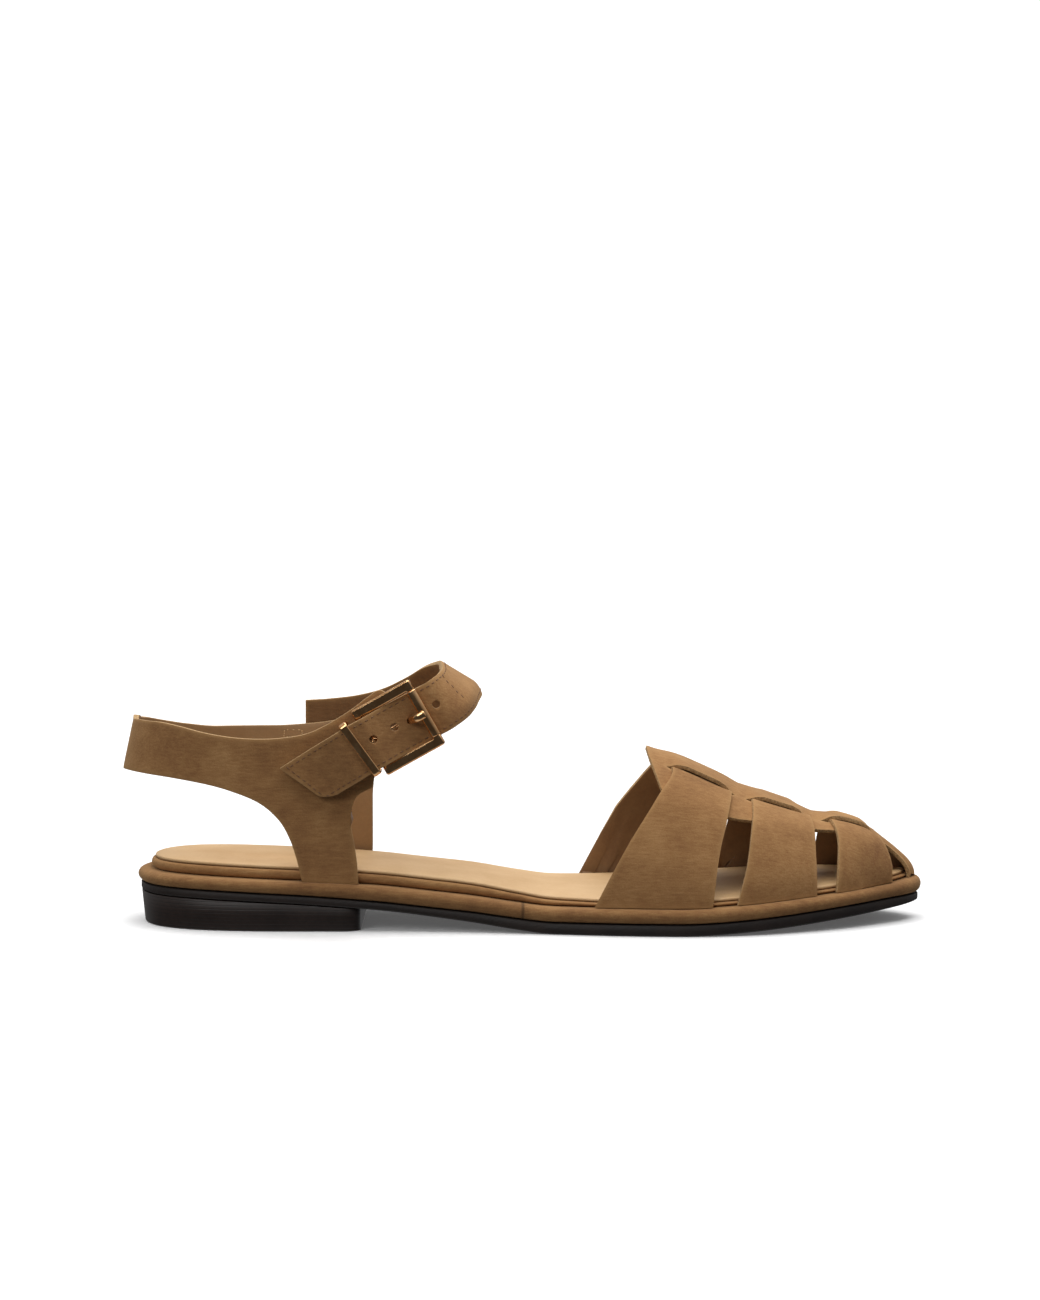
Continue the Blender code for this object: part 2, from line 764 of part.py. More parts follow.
PAST_ROLLER = 2.3 * MM  # straight run of the strap in front of the roller


def quarter_plane():
    """Depth of the quarter's outer face at the buckle."""
    return edge_point(turn_of(0.30), -1, STRAP_STEP).y


def buckle_point(a, b, n):
    """A point in the buckle's axes as a point of the sandal."""
    cos, sin = math.cos(STRAP_SLOPE), math.sin(STRAP_SLOPE)
    return Vector((
        BUCKLE_STATION * SOLE_LENGTH + a * cos - b * sin,
        quarter_plane() - n,
        ankle_height(BUCKLE_HEIGHT) + a * sin + b * cos,
    ))


HINGE_A = FRAME_MIDDLE - (FRAME_LONG - RAIL_WIDE) / 2
ROLLER_A = FRAME_MIDDLE + (FRAME_LONG - RAIL_WIDE) / 2
SPAN = ROLLER_A - HINGE_A
PRONG_HOLE = HINGE_A + 0.771 * SPAN
KEEPER_PLACE = HINGE_A - KEEPER_GAP
TAIL_START = HINGE_A - CHAPE_LONG
HINGE_LEVEL = FIT + KEEPER_BAR + FIT + CHAPE_WALL + FIT + BAR / 2


def frame_level(a):
    """Height above the quarter of the frame's middle plane."""
    return HINGE_LEVEL + (ROLLER_LEVEL - HINGE_LEVEL) * (a - HINGE_A) / (ROLLER_A - HINGE_A)


def sweep(name, path, section, material_used, closed=False):
    """A closed solid swept along path. section(i) gives offsets for the point i."""
    verts, faces = [], []
    for i, point in enumerate(path):
        verts += [point + offset for offset in section(i)]
    ring = len(section(0))
    count = len(path)
    for i in range(count if closed else count - 1):
        j = (i + 1) % count
        for k in range(ring):
            m = (k + 1) % ring
            faces.append((i * ring + k, i * ring + m, j * ring + m, j * ring + k))
    if not closed:
        faces.append(tuple(range(ring)))
        faces.append(tuple((count - 1) * ring + k for k in range(ring)))
    return mesh_object(name, verts, faces, material_used)


def round_path(path, radii, sides, up, closed):
    """Sections of an elliptic bar: radii in the plane of the path and along up."""
    count = len(path)

    def section(i):
        ahead = path[(i + 1) % count] if closed or i + 1 < count else path[i]
        behind = path[i - 1] if closed or i > 0 else path[i]
        along = (ahead - behind).normalized()
        out = along.cross(up).normalized()
        rise = out.cross(along).normalized()
        turns = [2 * math.pi * (k + 0.5) / sides for k in range(sides)]
        return [out * radii[0] * math.cos(t) + rise * radii[1] * math.sin(t) for t in turns]

    return section


def buckle_axis(a, b, n):
    return buckle_point(a, b, n) - buckle_point(0, 0, 0)


def buckle_frame(name, metal):
    """Two rails and the thinner bars they are joined by, in one solid."""
    long, wide = FRAME_LONG - RAIL_WIDE, FRAME_WIDE - RAIL_WIDE
    corner, steps = FRAME_CORNER, 4
    bar_start = wide / 2 - RAIL_WIDE / 2 - RAIL_STEP
    spots = []
    for quadrant, (sa, sb) in enumerate(((1, 1), (-1, 1), (-1, -1), (1, -1))):
        turned = []
        for k in range(steps + 1):
            t = (quadrant + k / steps) * math.pi / 2
            a = sa * (long / 2 - corner) + corner * math.cos(t)
            b = sb * (wide / 2 - corner) + corner * math.sin(t)
            turned.append((a, b, False))
        bar = [(sa * long / 2, sb * (bar_start + RAIL_STEP), False), (sa * long / 2, sb * bar_start, True)]
        spots += turned + bar if sa * sb < 0 else bar[::-1] + turned
    path = []
    for a, b, _ in spots:
        a += FRAME_MIDDLE
        path.append(buckle_point(a, b + FRAME_SHIFT, frame_level(a)))
    normal = buckle_axis(0, 0, 1.0).normalized()
    rails = round_path(path, (RAIL_WIDE / 2, RAIL_DEEP / 2), 8, normal, True)
    thin = round_path(path, (BAR / 2, BAR / 2), 8, normal, True)

    def section(i):
        return thin(i) if spots[i][2] else rails(i)

    return sweep(name, path, section, metal, closed=True)


def roller(name, metal):
    """Tube that turns on the frame's outer bar."""
    half = (FRAME_WIDE - 2 * RAIL_WIDE) / 2 - ROLLER_GAP
    sides = 16
    level = frame_level(ROLLER_A)
    verts, faces = [], []
    rings = ((-half, BAR / 2 + FIT), (-half, ROLLER / 2 - 0.3 * MM), (-half + 0.3 * MM, ROLLER / 2))
    rings += tuple((-b, r) for b, r in rings[::-1])
    for b, radius in rings:
        for k in range(sides):
            t = 2 * math.pi * k / sides
            a = ROLLER_A + radius * math.cos(t)
            verts.append(buckle_point(a, b + FRAME_SHIFT, level + radius * math.sin(t)))
    for i in range(len(rings)):
        j = (i + 1) % len(rings)
        for k in range(sides):
            m = (k + 1) % sides
            faces.append((i * sides + k, i * sides + m, j * sides + m, j * sides + k))
    return mesh_object(name, verts, faces, metal)


# Layers of the ankle strap above the quarter's outer face, along a
LAYER_COLUMNS = ("place", "level")
OVER_CHAPE = HINGE_LEVEL + BAR / 2 + FIT + CHAPE_WALL + FIT
OVER_PRONG = HINGE_LEVEL + BAR / 2 + FIT + PRONG_DEEP + FIT
UNDER_ROLLER = ROLLER_LEVEL - ROLLER / 2 - FIT - STRAP_WALL
LAYERS = (
    (TAIL_START - TAIL, 0.13 * OVER_CHAPE),
    (TAIL_START - 0.58 * TAIL, 0.25 * OVER_CHAPE),
    (TAIL_START - 0.30 * TAIL, 0.58 * OVER_CHAPE),
    (TAIL_START, OVER_CHAPE),
    (KEEPER_PLACE, OVER_CHAPE),
    (HINGE_A, OVER_PRONG),
    (HINGE_A + BAR / 2 + FIT + CHAPE_WALL, OVER_CHAPE),
    (HINGE_A + 0.31 * SPAN, 0.48 * UNDER_ROLLER + 0.52 * OVER_CHAPE),
    (HINGE_A + 0.52 * SPAN, 0.77 * UNDER_ROLLER + 0.23 * OVER_CHAPE),
    (PRONG_HOLE, UNDER_ROLLER),
    (ROLLER_A, 0.96 * UNDER_ROLLER),
    (ROLLER_A + 2 * PAST_ROLLER, UNDER_ROLLER),
)
strap_level = smooth_column(LAYER_COLUMNS, LAYERS, "level")

# Ankle strap in front of the buckle: middle of its inner face and its width direction.
# x is a share of SOLE_LENGTH, y of BALL_WIDTH and height of ANKLE; the last three columns
# are a direction.
LOOP_COLUMNS = ("x", "y", "height", "up_x", "up_y", "up_z")
LOOP = (
    (0.388, -0.372, 0.850, -0.53, 0.08, 0.85),
    (0.400, -0.325, 0.881, -0.60, 0.18, 0.77),
    (0.406, -0.250, 0.906, -0.70, 0.24, 0.67),
    (0.408, -0.140, 0.923, -0.80, 0.20, 0.57),
    (0.409, -0.020, 0.929, -0.86, 0.05, 0.50),
    (0.407, 0.090, 0.922, -0.84, -0.10, 0.53),
    (0.398, 0.195, 0.897, -0.72, -0.20, 0.66),
    (0.378, 0.275, 0.853, -0.55, -0.18, 0.82),
    (0.350, 0.330, 0.789, -0.36, -0.10, 0.94),
    (0.315, 0.360, 0.724, -0.20, -0.03, 0.98),
    (0.278, 0.368, 0.679, -0.09, 0.00, 1.00),
    (0.240, 0.370, 0.653, -0.03, 0.00, 1.00),
    (0.207, 0.370, 0.642, 0.00, 0.00, 1.00),
)
BELLY_ROWS = 3  # rows of LOOP over which the belly comes in at each end
# Slanted free end of the strap: shares of TAIL at shares of the strap's width
TIP_COLUMNS = ("across", "share")
TIP = (
    (-0.50, 0.416),
    (-0.46, 0.603),
    (-0.34, 0.720),
    (0.00, 0.822),
    (0.40, 0.935),
    (0.50, 0.953),
)
tip_share = smooth_column(TIP_COLUMNS, TIP, "share")
TIP_BLEND = TAIL_START - 0.346 * TAIL  # where the rows of the free end turn square
# Rows of the strap from there to the front of the roller, as shares of that run
ROWS = (0.0, 0.107, 0.187, 0.251, 0.309, 0.357, 0.405, 0.448, 0.496, 0.56, 0.64, 0.731, 0.811)
ROWS += (0.88, 0.939, 1.0)


def strap_tip(across):
    """Place along a of the free end."""
    return TAIL_START - tip_share(across) * TAIL


def strap_middle(a):
    """Place across the buckle of the strap's middle line."""
    ahead = a - KEEPER_PLACE
    return STRAP_SHIFT + ahead * (TAIL_SKEW if ahead < 0 else FRONT_SKEW)


def strap_point(a, share, n):
    return buckle_point(a, strap_middle(a) + share * STRAP_WIDTH, n)


def ankle_strap(name, suede):
    """From the far quarter over the instep, through the buckle to the slanted tip."""
    across = (-0.5, -0.46, -0.25, 0.0, 0.25, 0.46, 0.5)
    grid = []
    for t in (0.0, 0.25, 0.5, 0.75):
        line = []
        for share in across:
            a = strap_tip(share) + (TIP_BLEND - strap_tip(share)) * t
            line.append(strap_point(a, share, strap_level(a)))
        grid.append(line)
    for row in ROWS:
        a = TIP_BLEND + (ROLLER_A + PAST_ROLLER - TIP_BLEND) * row
        grid.append([strap_point(a, share, strap_level(a)) for share in across])
    middle = Vector((0.30 * SOLE_LENGTH, 0.0, ankle_height(0.3)))
    keys = []
    for row in LOOP:
        centre = Vector((row[0] * SOLE_LENGTH, row[1] * BALL_WIDTH, ankle_height(row[2])))
        keys.append((centre, Vector(row[3:]).normalized()))
    last = (grid[-1][0] + grid[-1][-1]) / 2
    before = (grid[-2][0] + grid[-2][-1]) / 2
    up = (grid[-1][-1] - grid[-1][0]).normalized()
    chain = [(before, up), (last, up), *keys]
    chain.append((keys[-1][0] * 2 - keys[-2][0], keys[-1][1]))
    for i in range(1, len(chain) - 2):
        p0, p1, p2, p3 = (chain[i + k][0] for k in (-1, 0, 1, 2))
        steps = 2
        for k in range(1, steps + 1):
            t = k / steps
            pull = (p2 - p1).length
            m1 = (p2 - p0).normalized() * pull
            m2 = (p3 - p1).normalized() * pull
            centre = (
                p1 * (2 * t**3 - 3 * t**2 + 1)
                + m1 * (t**3 - 2 * t**2 + t)
                + p2 * (3 * t**2 - 2 * t**3)
                + m2 * (t**3 - t**2)
            )
            width = chain[i][1].lerp(chain[i + 1][1], t).normalized() * STRAP_WIDTH
            out = (p2 - p0).cross(width).normalized()
            if out.dot(centre - middle) < 0:
                out = -out
            turned = ease((i + t - 1) / BELLY_ROWS) * ease((len(chain) - 2 - i - t) / BELLY_ROWS)
            out *= BELLY * turned
            grid.append([centre + width * share + out * (1 - 4 * share**2) for share in across])
    flat = [[0.0] * len(across) for _ in grid]
    near = range(4 + len(ROWS) - 1)
    made = sheet(name, grid, flat, STRAP_WALL, lambda p: p - middle, suede, flat_rows=near)
    low, high = -STRAP_WALL, OVER_PRONG + 3 * STRAP_WALL
    turns = [2 * math.pi * k / 12 for k in range(12)]
    for k in (-2, -1, 1):
        a = PRONG_HOLE + HOLE_SHIFT + HOLE_SPACING * k
        b = strap_middle(a) + HOLE_ASIDE
        ring = [(a + HOLE / 2 * math.cos(t), b + HOLE / 2 * math.sin(t)) for t in turns]
        boolean(made, prism("hole_cutter", ring, low, high, suede), "DIFFERENCE")
    half = PRONG_WIDE / 2 + FIT
    corners = ((-1, -1), (1, -1), (1, 1), (-1, 1))
    slot = [(PRONG_HOLE + sa * PRONG_SLOT / 2, sb * half) for sa, sb in corners]
    boolean(made, prism("slot_cutter", slot, low, high, suede), "DIFFERENCE")
    return made


def prism(name, points, low, high, material_used):
    """A solid on a flat outline in the buckle's a and b, between two levels."""
    count = len(points)
    verts = [buckle_point(a, b, low) for a, b in points]
    verts += [buckle_point(a, b, high) for a, b in points]
    faces = [tuple(range(count)), tuple(range(count, 2 * count))]
    for i in range(count):
        j = (i + 1) % count
        faces.append((i, j, count + j, count + i))
    return mesh_object(name, verts, faces, material_used)


def chape(name, suede):
    """Folded tab that holds the hinge bar to the quarter, slotted for the prong."""
    inner = BAR / 2 + FIT
    outer = inner + CHAPE_WALL
    arc = [math.pi / 2 - math.pi * k / 8 for k in range(9)]
    rear = HINGE_A - CHAPE_LONG
    profile = [(rear, HINGE_LEVEL + outer)]
    profile += [(HINGE_A + outer * math.cos(t), HINGE_LEVEL + outer * math.sin(t)) for t in arc]
    profile += [(rear, HINGE_LEVEL - outer), (rear, HINGE_LEVEL - inner)]
    profile += [(HINGE_A + inner * math.cos(t), HINGE_LEVEL + inner * math.sin(t)) for t in arc[::-1]]
    profile += [(rear, HINGE_LEVEL + inner)]
    count = len(profile)
    verts = [buckle_point(a, -CHAPE_WIDE / 2, n) for a, n in profile]
    verts += [buckle_point(a, CHAPE_WIDE / 2, n) for a, n in profile]
    faces = [tuple(range(count)), tuple(range(count, 2 * count))]
    for i in range(count):
        j = (i + 1) % count
        faces.append((i, j, count + j, count + i))
    made = mesh_object(name, verts, faces, suede)
    reach = outer + 1.0 * MM
    corners = ((-reach, -1), (reach, -1), (reach, 1), (-reach, 1))
    slot = [(HINGE_A + sa, sb * CHAPE_SLOT / 2) for sa, sb in corners]
    boolean(made, prism("chape_slot", slot, -3 * MM, 9 * MM, suede), "DIFFERENCE")
    return made


# Side view of the prong: shares of SPAN from the hinge bar and of PRONG_TOP above the quarter
PRONG_TOP = ROLLER_LEVEL + ROLLER / 2 + FIT + PRONG_DEEP / 2
PRONG_COLUMNS = ("share", "level")
PRONG = (
    (0.104, 0.260),
    (0.260, 0.215),
    (0.469, 0.147),
    (0.635, 0.147),
    (0.708, 0.339),
    (0.771, 0.678),
    (0.828, 0.904),
    (0.906, 1.000),
    (1.000, 1.000),
)


def prong(name, metal):
    """Loop round the hinge bar with a tongue that rests on the roller."""
    ring, radius = [], BAR / 2 + FIT + PRONG_DEEP / 2
    for k in range(1, 14):
        t = math.radians(20 + k * 320 / 14)
        ring.append((HINGE_A + radius * math.cos(t), HINGE_LEVEL + radius * math.sin(t)))
    tongue = [(HINGE_A + share * SPAN, level * PRONG_TOP) for share, level in PRONG]
    path = [buckle_point(a, 0, n) for a, n in ring + tongue]
    side = buckle_axis(0, 1.0, 0).normalized()

    def section(i):
        ahead = path[min(i + 1, len(path) - 1)]
        behind = path[max(i - 1, 0)]
        along = (ahead - behind).normalized()
        up = along.cross(side).normalized()
        taper = 0.75 if i == len(path) - 1 else 1.0
        wide, deep = PRONG_WIDE / 2 * taper, PRONG_DEEP / 2 * taper
        soft = 0.3 * MM
        corners = []
        for sx, sy in ((1, 1), (-1, 1), (-1, -1), (1, -1)):
            one = side * sx * wide + up * sy * (deep - soft)
            two = side * sx * (wide - soft) + up * sy * deep
            corners += [one, two] if sx * sy > 0 else [two, one]
        return corners

    return sweep(name, path, section, metal)


def keeper(name, metal):
    """Metal loop that holds the free end of the strap down."""
    level = strap_level(KEEPER_PLACE)
    low = FIT + KEEPER_BAR / 2
    high = level + STRAP_WALL + FIT + KEEPER_BAR / 2
    half = STRAP_WIDTH / 2 + FIT + 0.6 * MM + KEEPER_BAR / 2
    path, corner = [], 0.8 * MM
    for quadrant, (sb, sn) in enumerate(((1, 1), (-1, 1), (-1, -1), (1, -1))):
        for k in range(4):
            t = (quadrant + k / 3) * math.pi / 2
            b = sb * (half - corner) + corner * math.cos(t)
            centre = (high - corner) if sn > 0 else (low + corner)
            a = KEEPER_PLACE - b * math.sin(KEEPER_LEAN)
            middle = strap_middle(KEEPER_PLACE)
            path.append(buckle_point(a, middle + b, centre + corner * math.sin(t)))
    axis = buckle_axis(math.cos(KEEPER_LEAN), math.sin(KEEPER_LEAN), 0).normalized()
    section = round_path(path, (KEEPER_BAR / 2, KEEPER_WIDE / 2), 8, axis, True)
    return sweep(name, path, section, metal, closed=True)


def heel_block(name, stacked):
    """The low heel: a D in plan with bevelled corners at its flat breast."""

    def ring(inset, height):
        points = {-1: [], 1: []}
        front = HEEL_BREAST
        for side in (-1, 1):
            for k in range(15):
                share = k / 14
                reach = (front - HEEL_CORNER) / SOLE_LENGTH
                turn = turn_of(reach) * share
                points[side].append(edge_point(turn, side, inset))
            tip = edge_point(turn_of(front / SOLE_LENGTH), side, inset + HEEL_CORNER * 0.8)
            points[side].append(Vector((front, tip.y)))
        order = points[-1] + points[1][:0:-1]
        return [Vector((p.x, p.y, height(p.x))) for p in order]

    def top(x):
        return floor_line(x) - FIT

    loops = [
        ring(HEEL_STEP + HEEL_TAPER + 0.5 * MM, lambda x: 0.0),
        ring(HEEL_STEP + HEEL_TAPER, lambda x: 0.5 * MM),
        ring(HEEL_STEP, top),
    ]
    count = len(loops[0])
    verts = [p for loop in loops for p in loop]
    faces = []
    for level in range(2):
        low, high = level * count, (level + 1) * count
        for i in range(count):
            j = (i + 1) % count
            faces.append((low + i, low + j, high + j, high + i))
    faces.append(tuple(range(count)))
    half = count // 2 + 1
    start = 2 * count
    for i in range(half - 1):
        a, b = start + i, start + i + 1
        c, d = start + (count - i - 1) % count, start + (count - i) % count
        ring_face = [a, b]
        if b != c:
            ring_face.append(c)
        if d != a:
            ring_face.append(d)
        if len(ring_face) > 2:
            faces.append(tuple(ring_face))
    return mesh_object(name, verts, faces, stacked)


def build():
    for old in list(bpy.data.objects):
        bpy.data.objects.remove(old)
    tan = (0.262, 0.142, 0.052)
    brown = (0.017, 0.010, 0.008)
    beige = (0.680, 0.456, 0.254)
    gold = (0.800, 0.590, 0.300)

    def outsole_height(x):
        return floor_line(x)

    def outsole_top(x):
        return rand_bottom(x) - FIT

    sole = [
        outline(OUTSOLE_STEP + OUTSOLE_BEVEL, outsole_height),
        outline(OUTSOLE_STEP, outsole_height, OUTSOLE_BEVEL),
        outline(OUTSOLE_STEP, outsole_top),
    ]
    heel_block("heel", material("heel", brown, 0.5))
    plate("outsole", sole, material("outsole", brown, 0.55))
    rounded_plate(
        "rand", 0.0, rand_bottom, lambda x: rand_top(x) - rand_bottom(x), material("rand", tan, 0.95)
    )
    footbed_step = STRAP_STEP + QUARTER_WALL + FIT
    rounded_plate(
        "footbed",
        footbed_step,
        lambda x: rand_top(x) + FIT,
        lambda x: footbed_top(x) - rand_top(x) - FIT,
        material("footbed", tan, 0.95),
        rings=4,
    )
    sock_step = footbed_step + SOCK_STEP
    sock = [
        outline(sock_step, footbed_top, FIT),
        outline(sock_step, footbed_top, FIT + SOCK - 0.3 * MM),
        outline(sock_step + 0.3 * MM, footbed_top, FIT + SOCK),
    ]
    plate("insole_sock", sock, material("insole_sock", beige, 0.6))

    suede = material("vamp", tan, 0.95)
    vamp = spine("vamp", suede)
    for i, table in enumerate(STRAPS):
        boolean(vamp, woven_strap(f"vamp_strap_{i + 1}", table, suede), "UNION")
    quarter("quarter", material("quarter", tan, 0.95))
    ankle_strap("ankle_strap", material("ankle_strap", tan, 0.95))
    chape("buckle_chape", material("buckle_chape", tan, 0.95))
    buckle_frame("buckle_frame", material("buckle_frame", gold, 0.25, 1.0))
    roller("buckle_roller", material("buckle_roller", gold, 0.25, 1.0))
    prong("buckle_prong", material("buckle_prong", gold, 0.25, 1.0))
    keeper("keeper_loop", material("keeper_loop", gold, 0.25, 1.0))

    # The middle of the whole sandal's footprint comes to the origin.
    corners = [v.co for o in bpy.data.objects for v in o.data.vertices]
    shift = Vector((
        -(min(c.x for c in corners) + max(c.x for c in corners)) / 2,
        -(min(c.y for c in corners) + max(c.y for c in corners)) / 2,
        -min(c.z for c in corners),
    ))
    for made in bpy.data.objects:
        made.data.transform(Matrix.Translation(shift))
        made.data.update()


build()
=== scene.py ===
"""Looks of a fisherman sandal for the right foot, in tan suede on a low stacked heel.

Every piece is placed by the shape of the last, in metres, and stands for the solid of the
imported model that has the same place. The toe points along +X, the outer side of the foot is
at -Y and the floor is Z = 0.
"""

import logging
import math
from bisect import bisect_left
from collections.abc import Callable, Iterable, Sequence
from dataclasses import dataclass, field
from enum import Enum
from functools import cache

import bmesh
import bpy
from mathutils import Matrix, Vector
from mathutils.kdtree import KDTree


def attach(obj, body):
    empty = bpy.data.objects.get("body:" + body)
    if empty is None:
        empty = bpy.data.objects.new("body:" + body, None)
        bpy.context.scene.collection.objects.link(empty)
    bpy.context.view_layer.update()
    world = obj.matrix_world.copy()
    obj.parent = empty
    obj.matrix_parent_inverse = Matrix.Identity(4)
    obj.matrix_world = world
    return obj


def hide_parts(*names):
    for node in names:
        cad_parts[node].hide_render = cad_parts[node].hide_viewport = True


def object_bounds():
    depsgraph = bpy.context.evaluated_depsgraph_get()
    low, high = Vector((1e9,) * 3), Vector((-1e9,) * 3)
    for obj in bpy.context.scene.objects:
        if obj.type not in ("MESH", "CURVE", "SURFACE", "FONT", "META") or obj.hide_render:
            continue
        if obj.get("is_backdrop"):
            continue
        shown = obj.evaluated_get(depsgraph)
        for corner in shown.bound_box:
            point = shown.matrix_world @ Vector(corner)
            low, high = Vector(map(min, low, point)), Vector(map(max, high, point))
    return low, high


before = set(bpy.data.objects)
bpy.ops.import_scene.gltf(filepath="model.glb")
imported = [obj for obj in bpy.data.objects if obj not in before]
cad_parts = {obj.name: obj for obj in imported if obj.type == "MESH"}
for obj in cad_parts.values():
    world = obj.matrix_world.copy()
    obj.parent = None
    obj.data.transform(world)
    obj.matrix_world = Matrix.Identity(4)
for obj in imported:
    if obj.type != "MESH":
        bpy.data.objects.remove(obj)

MM = 0.001
LOG = logging.getLogger("sandal")

# Where the heel-to-toe line of the sole starts, in the model's own axes
HEEL_POINT = Vector((-129.567 * MM, -0.642 * MM, 0.0))
# How far a strap's foot is tucked into the sole, and how far in from a cut edge the nap is worn
TUCK = 0.2 * MM
EDGE_REACH = 3.0 * MM

Place = Callable[[float, float], Vector]
Height = Callable[[float], float]
Span = tuple[float, float]
Tree = bpy.types.NodeTree
Socket = bpy.types.NodeSocket


# Tables of the last and the patterns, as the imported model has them

# station, lateral and medial half widths, as shares of the sole's length and ball width
PLAN = (
    (0.00, 0.000, 0.000),
    (0.02, 0.198, 0.198),
    (0.06, 0.301, 0.301),
    (0.12, 0.355, 0.355),
    (0.20, 0.373, 0.367),
    (0.28, 0.373, 0.350),
    (0.36, 0.376, 0.332),
    (0.44, 0.391, 0.332),
    (0.52, 0.427, 0.361),
    (0.60, 0.469, 0.422),
    (0.68, 0.492, 0.481),
    (0.74, 0.481, 0.506),
    (0.80, 0.438, 0.496),
    (0.86, 0.357, 0.439),
    (0.91, 0.267, 0.363),
    (0.95, 0.171, 0.276),
    (0.98, 0.087, 0.187),
    (1.00, -0.050, 0.050),
)
# station, heel seat, toe spring, outsole, rand and footbed, as shares of their sizes
SIDE = (
    (0.00, 1.00, 0.00, 0.70, 0.88, 1.00),
    (0.08, 0.98, 0.00, 0.70, 0.88, 1.00),
    (0.20, 0.86, 0.00, 0.70, 0.90, 1.00),
    (0.27, 0.74, 0.00, 0.70, 1.00, 1.00),
    (0.33, 0.61, 0.00, 0.70, 1.05, 1.00),
    (0.38, 0.46, 0.00, 0.75, 1.05, 1.00),
    (0.43, 0.30, 0.00, 0.86, 1.04, 0.95),
    (0.48, 0.12, 0.00, 0.95, 1.02, 0.75),
    (0.53, 0.00, 0.00, 1.00, 1.00, 0.52),
    (0.60, 0.00, 0.00, 1.00, 0.98, 0.38),
    (0.69, 0.00, 0.00, 1.00, 0.98, 0.36),
    (0.75, 0.00, 0.10, 1.00, 1.00, 0.36),
    (0.83, 0.00, 0.34, 1.00, 0.98, 0.36),
    (0.90, 0.00, 0.60, 0.96, 0.92, 0.36),
    (0.96, 0.00, 0.83, 0.84, 0.96, 0.36),
    (1.00, 0.00, 1.00, 0.60, 1.15, 0.36),
)
# station, height, drift to the inner side, fullness of the section
CROWN = (
    (0.55, 1.190, 0.020, 2.0),
    (0.62, 1.070, 0.025, 2.0),
    (0.66, 1.000, 0.025, 2.0),
    (0.70, 0.918, 0.025, 2.0),
    (0.75, 0.780, 0.028, 2.0),
    (0.80, 0.642, 0.030, 2.05),
    (0.86, 0.500, 0.035, 2.1),
    (0.90, 0.434, 0.039, 2.1),
    (0.93, 0.370, 0.043, 2.1),
    (0.96, 0.262, 0.047, 2.1),
    (0.985, 0.140, 0.049, 2.1),
    (1.00, 0.000, 0.050, 2.1),
)
# station, half width of the spine, place of the slits in it
SPINE = (
    (0.650, 0.225, 0.125),
    (0.657, 0.262, 0.145),
    (0.670, 0.292, 0.158),
    (0.700, 0.305, 0.168),
    (0.750, 0.306, 0.172),
    (0.800, 0.262, 0.146),
    (0.850, 0.208, 0.118),
    (0.895, 0.152, 0.088),
    (0.930, 0.110, 0.065),
    (0.955, 0.084, 0.051),
    (0.975, 0.077, 0.047),
    (1.000, 0.075, 0.046),
)
# place round the last from the outer to the inner side, rear edge, front edge
STRAPS = (
    (
        (-1.00, 0.578, 0.727),
        (-0.75, 0.618, 0.735),
        (-0.50, 0.656, 0.747),
        (-0.25, 0.680, 0.756),
        (0.00, 0.680, 0.755),
        (0.25, 0.668, 0.750),
        (0.50, 0.640, 0.738),
        (0.75, 0.598, 0.723),
        (1.00, 0.560, 0.713),
    ),
    (
        (-1.00, 0.759, 0.863),
        (-0.75, 0.773, 0.863),
        (-0.50, 0.780, 0.863),
        (-0.25, 0.784, 0.861),
        (0.00, 0.783, 0.853),
        (0.25, 0.780, 0.850),
        (0.50, 0.767, 0.848),
        (0.75, 0.755, 0.846),
        (1.00, 0.742, 0.844),
    ),
    (
        (-1.00, 0.890, 0.964),
        (-0.75, 0.893, 0.964),
        (-0.50, 0.895, 0.960),
        (-0.25, 0.891, 0.952),
        (0.00, 0.884, 0.945),
        (0.25, 0.886, 0.949),
        (0.50, 0.882, 0.953),
        (0.75, 0.878, 0.953),
        (1.00, 0.874, 0.950),
    ),
)
# Sections of the heel band: station and height of the lower edge, then of the upper one
BAND_NEAR = (
    (0.000, 0.496, 0.000, 0.742),
    (0.003, 0.496, 0.003, 0.744),
    (0.012, 0.497, 0.012, 0.748),
    (0.035, 0.491, 0.035, 0.748),
    (0.070, 0.477, 0.065, 0.733),
    (0.112, 0.448, 0.105, 0.699),
    (0.145, 0.408, 0.140, 0.680),
    (0.172, 0.356, 0.175, 0.676),
    (0.192, 0.277, 0.205, 0.687),
    (0.215, 0.272, 0.225, 0.705),
    (0.240, 0.268, 0.245, 0.742),
    (0.258, 0.262, 0.262, 0.783),
    (0.276, 0.252, 0.279, 0.828),
    (0.277, 0.330, 0.297, 0.882),
    (0.284, 0.399, 0.312, 0.917),
    (0.303, 0.442, 0.325, 0.890),
)
BAND_FAR = (
    (0.000, 0.496, 0.000, 0.742),
    (0.003, 0.496, 0.003, 0.740),
    (0.012, 0.497, 0.012, 0.730),
    (0.035, 0.491, 0.035, 0.704),
    (0.070, 0.477, 0.065, 0.680),
    (0.112, 0.448, 0.105, 0.663),
    (0.145, 0.408, 0.140, 0.663),
    (0.172, 0.356, 0.175, 0.663),
    (0.192, 0.285, 0.208, 0.670),
    (0.215, 0.282, 0.230, 0.678),
    (0.240, 0.284, 0.252, 0.692),
    (0.268, 0.288, 0.276, 0.708),
    (0.296, 0.292, 0.296, 0.724),
    (0.297, 0.360, 0.306, 0.730),
    (0.300, 0.440, 0.316, 0.724),
    (0.307, 0.520, 0.322, 0.690),
)
# Posts below the band: share of the height, rear edge, front edge
POST_NEAR = (
    (0.70, 0.203, 0.2795),
    (0.35, 0.210, 0.2832),
    (0.00, 0.2145, 0.2848),
)
POST_FAR = (
    (0.70, 0.205, 0.296),
    (0.35, 0.214, 0.296),
    (0.00, 0.220, 0.295),
)
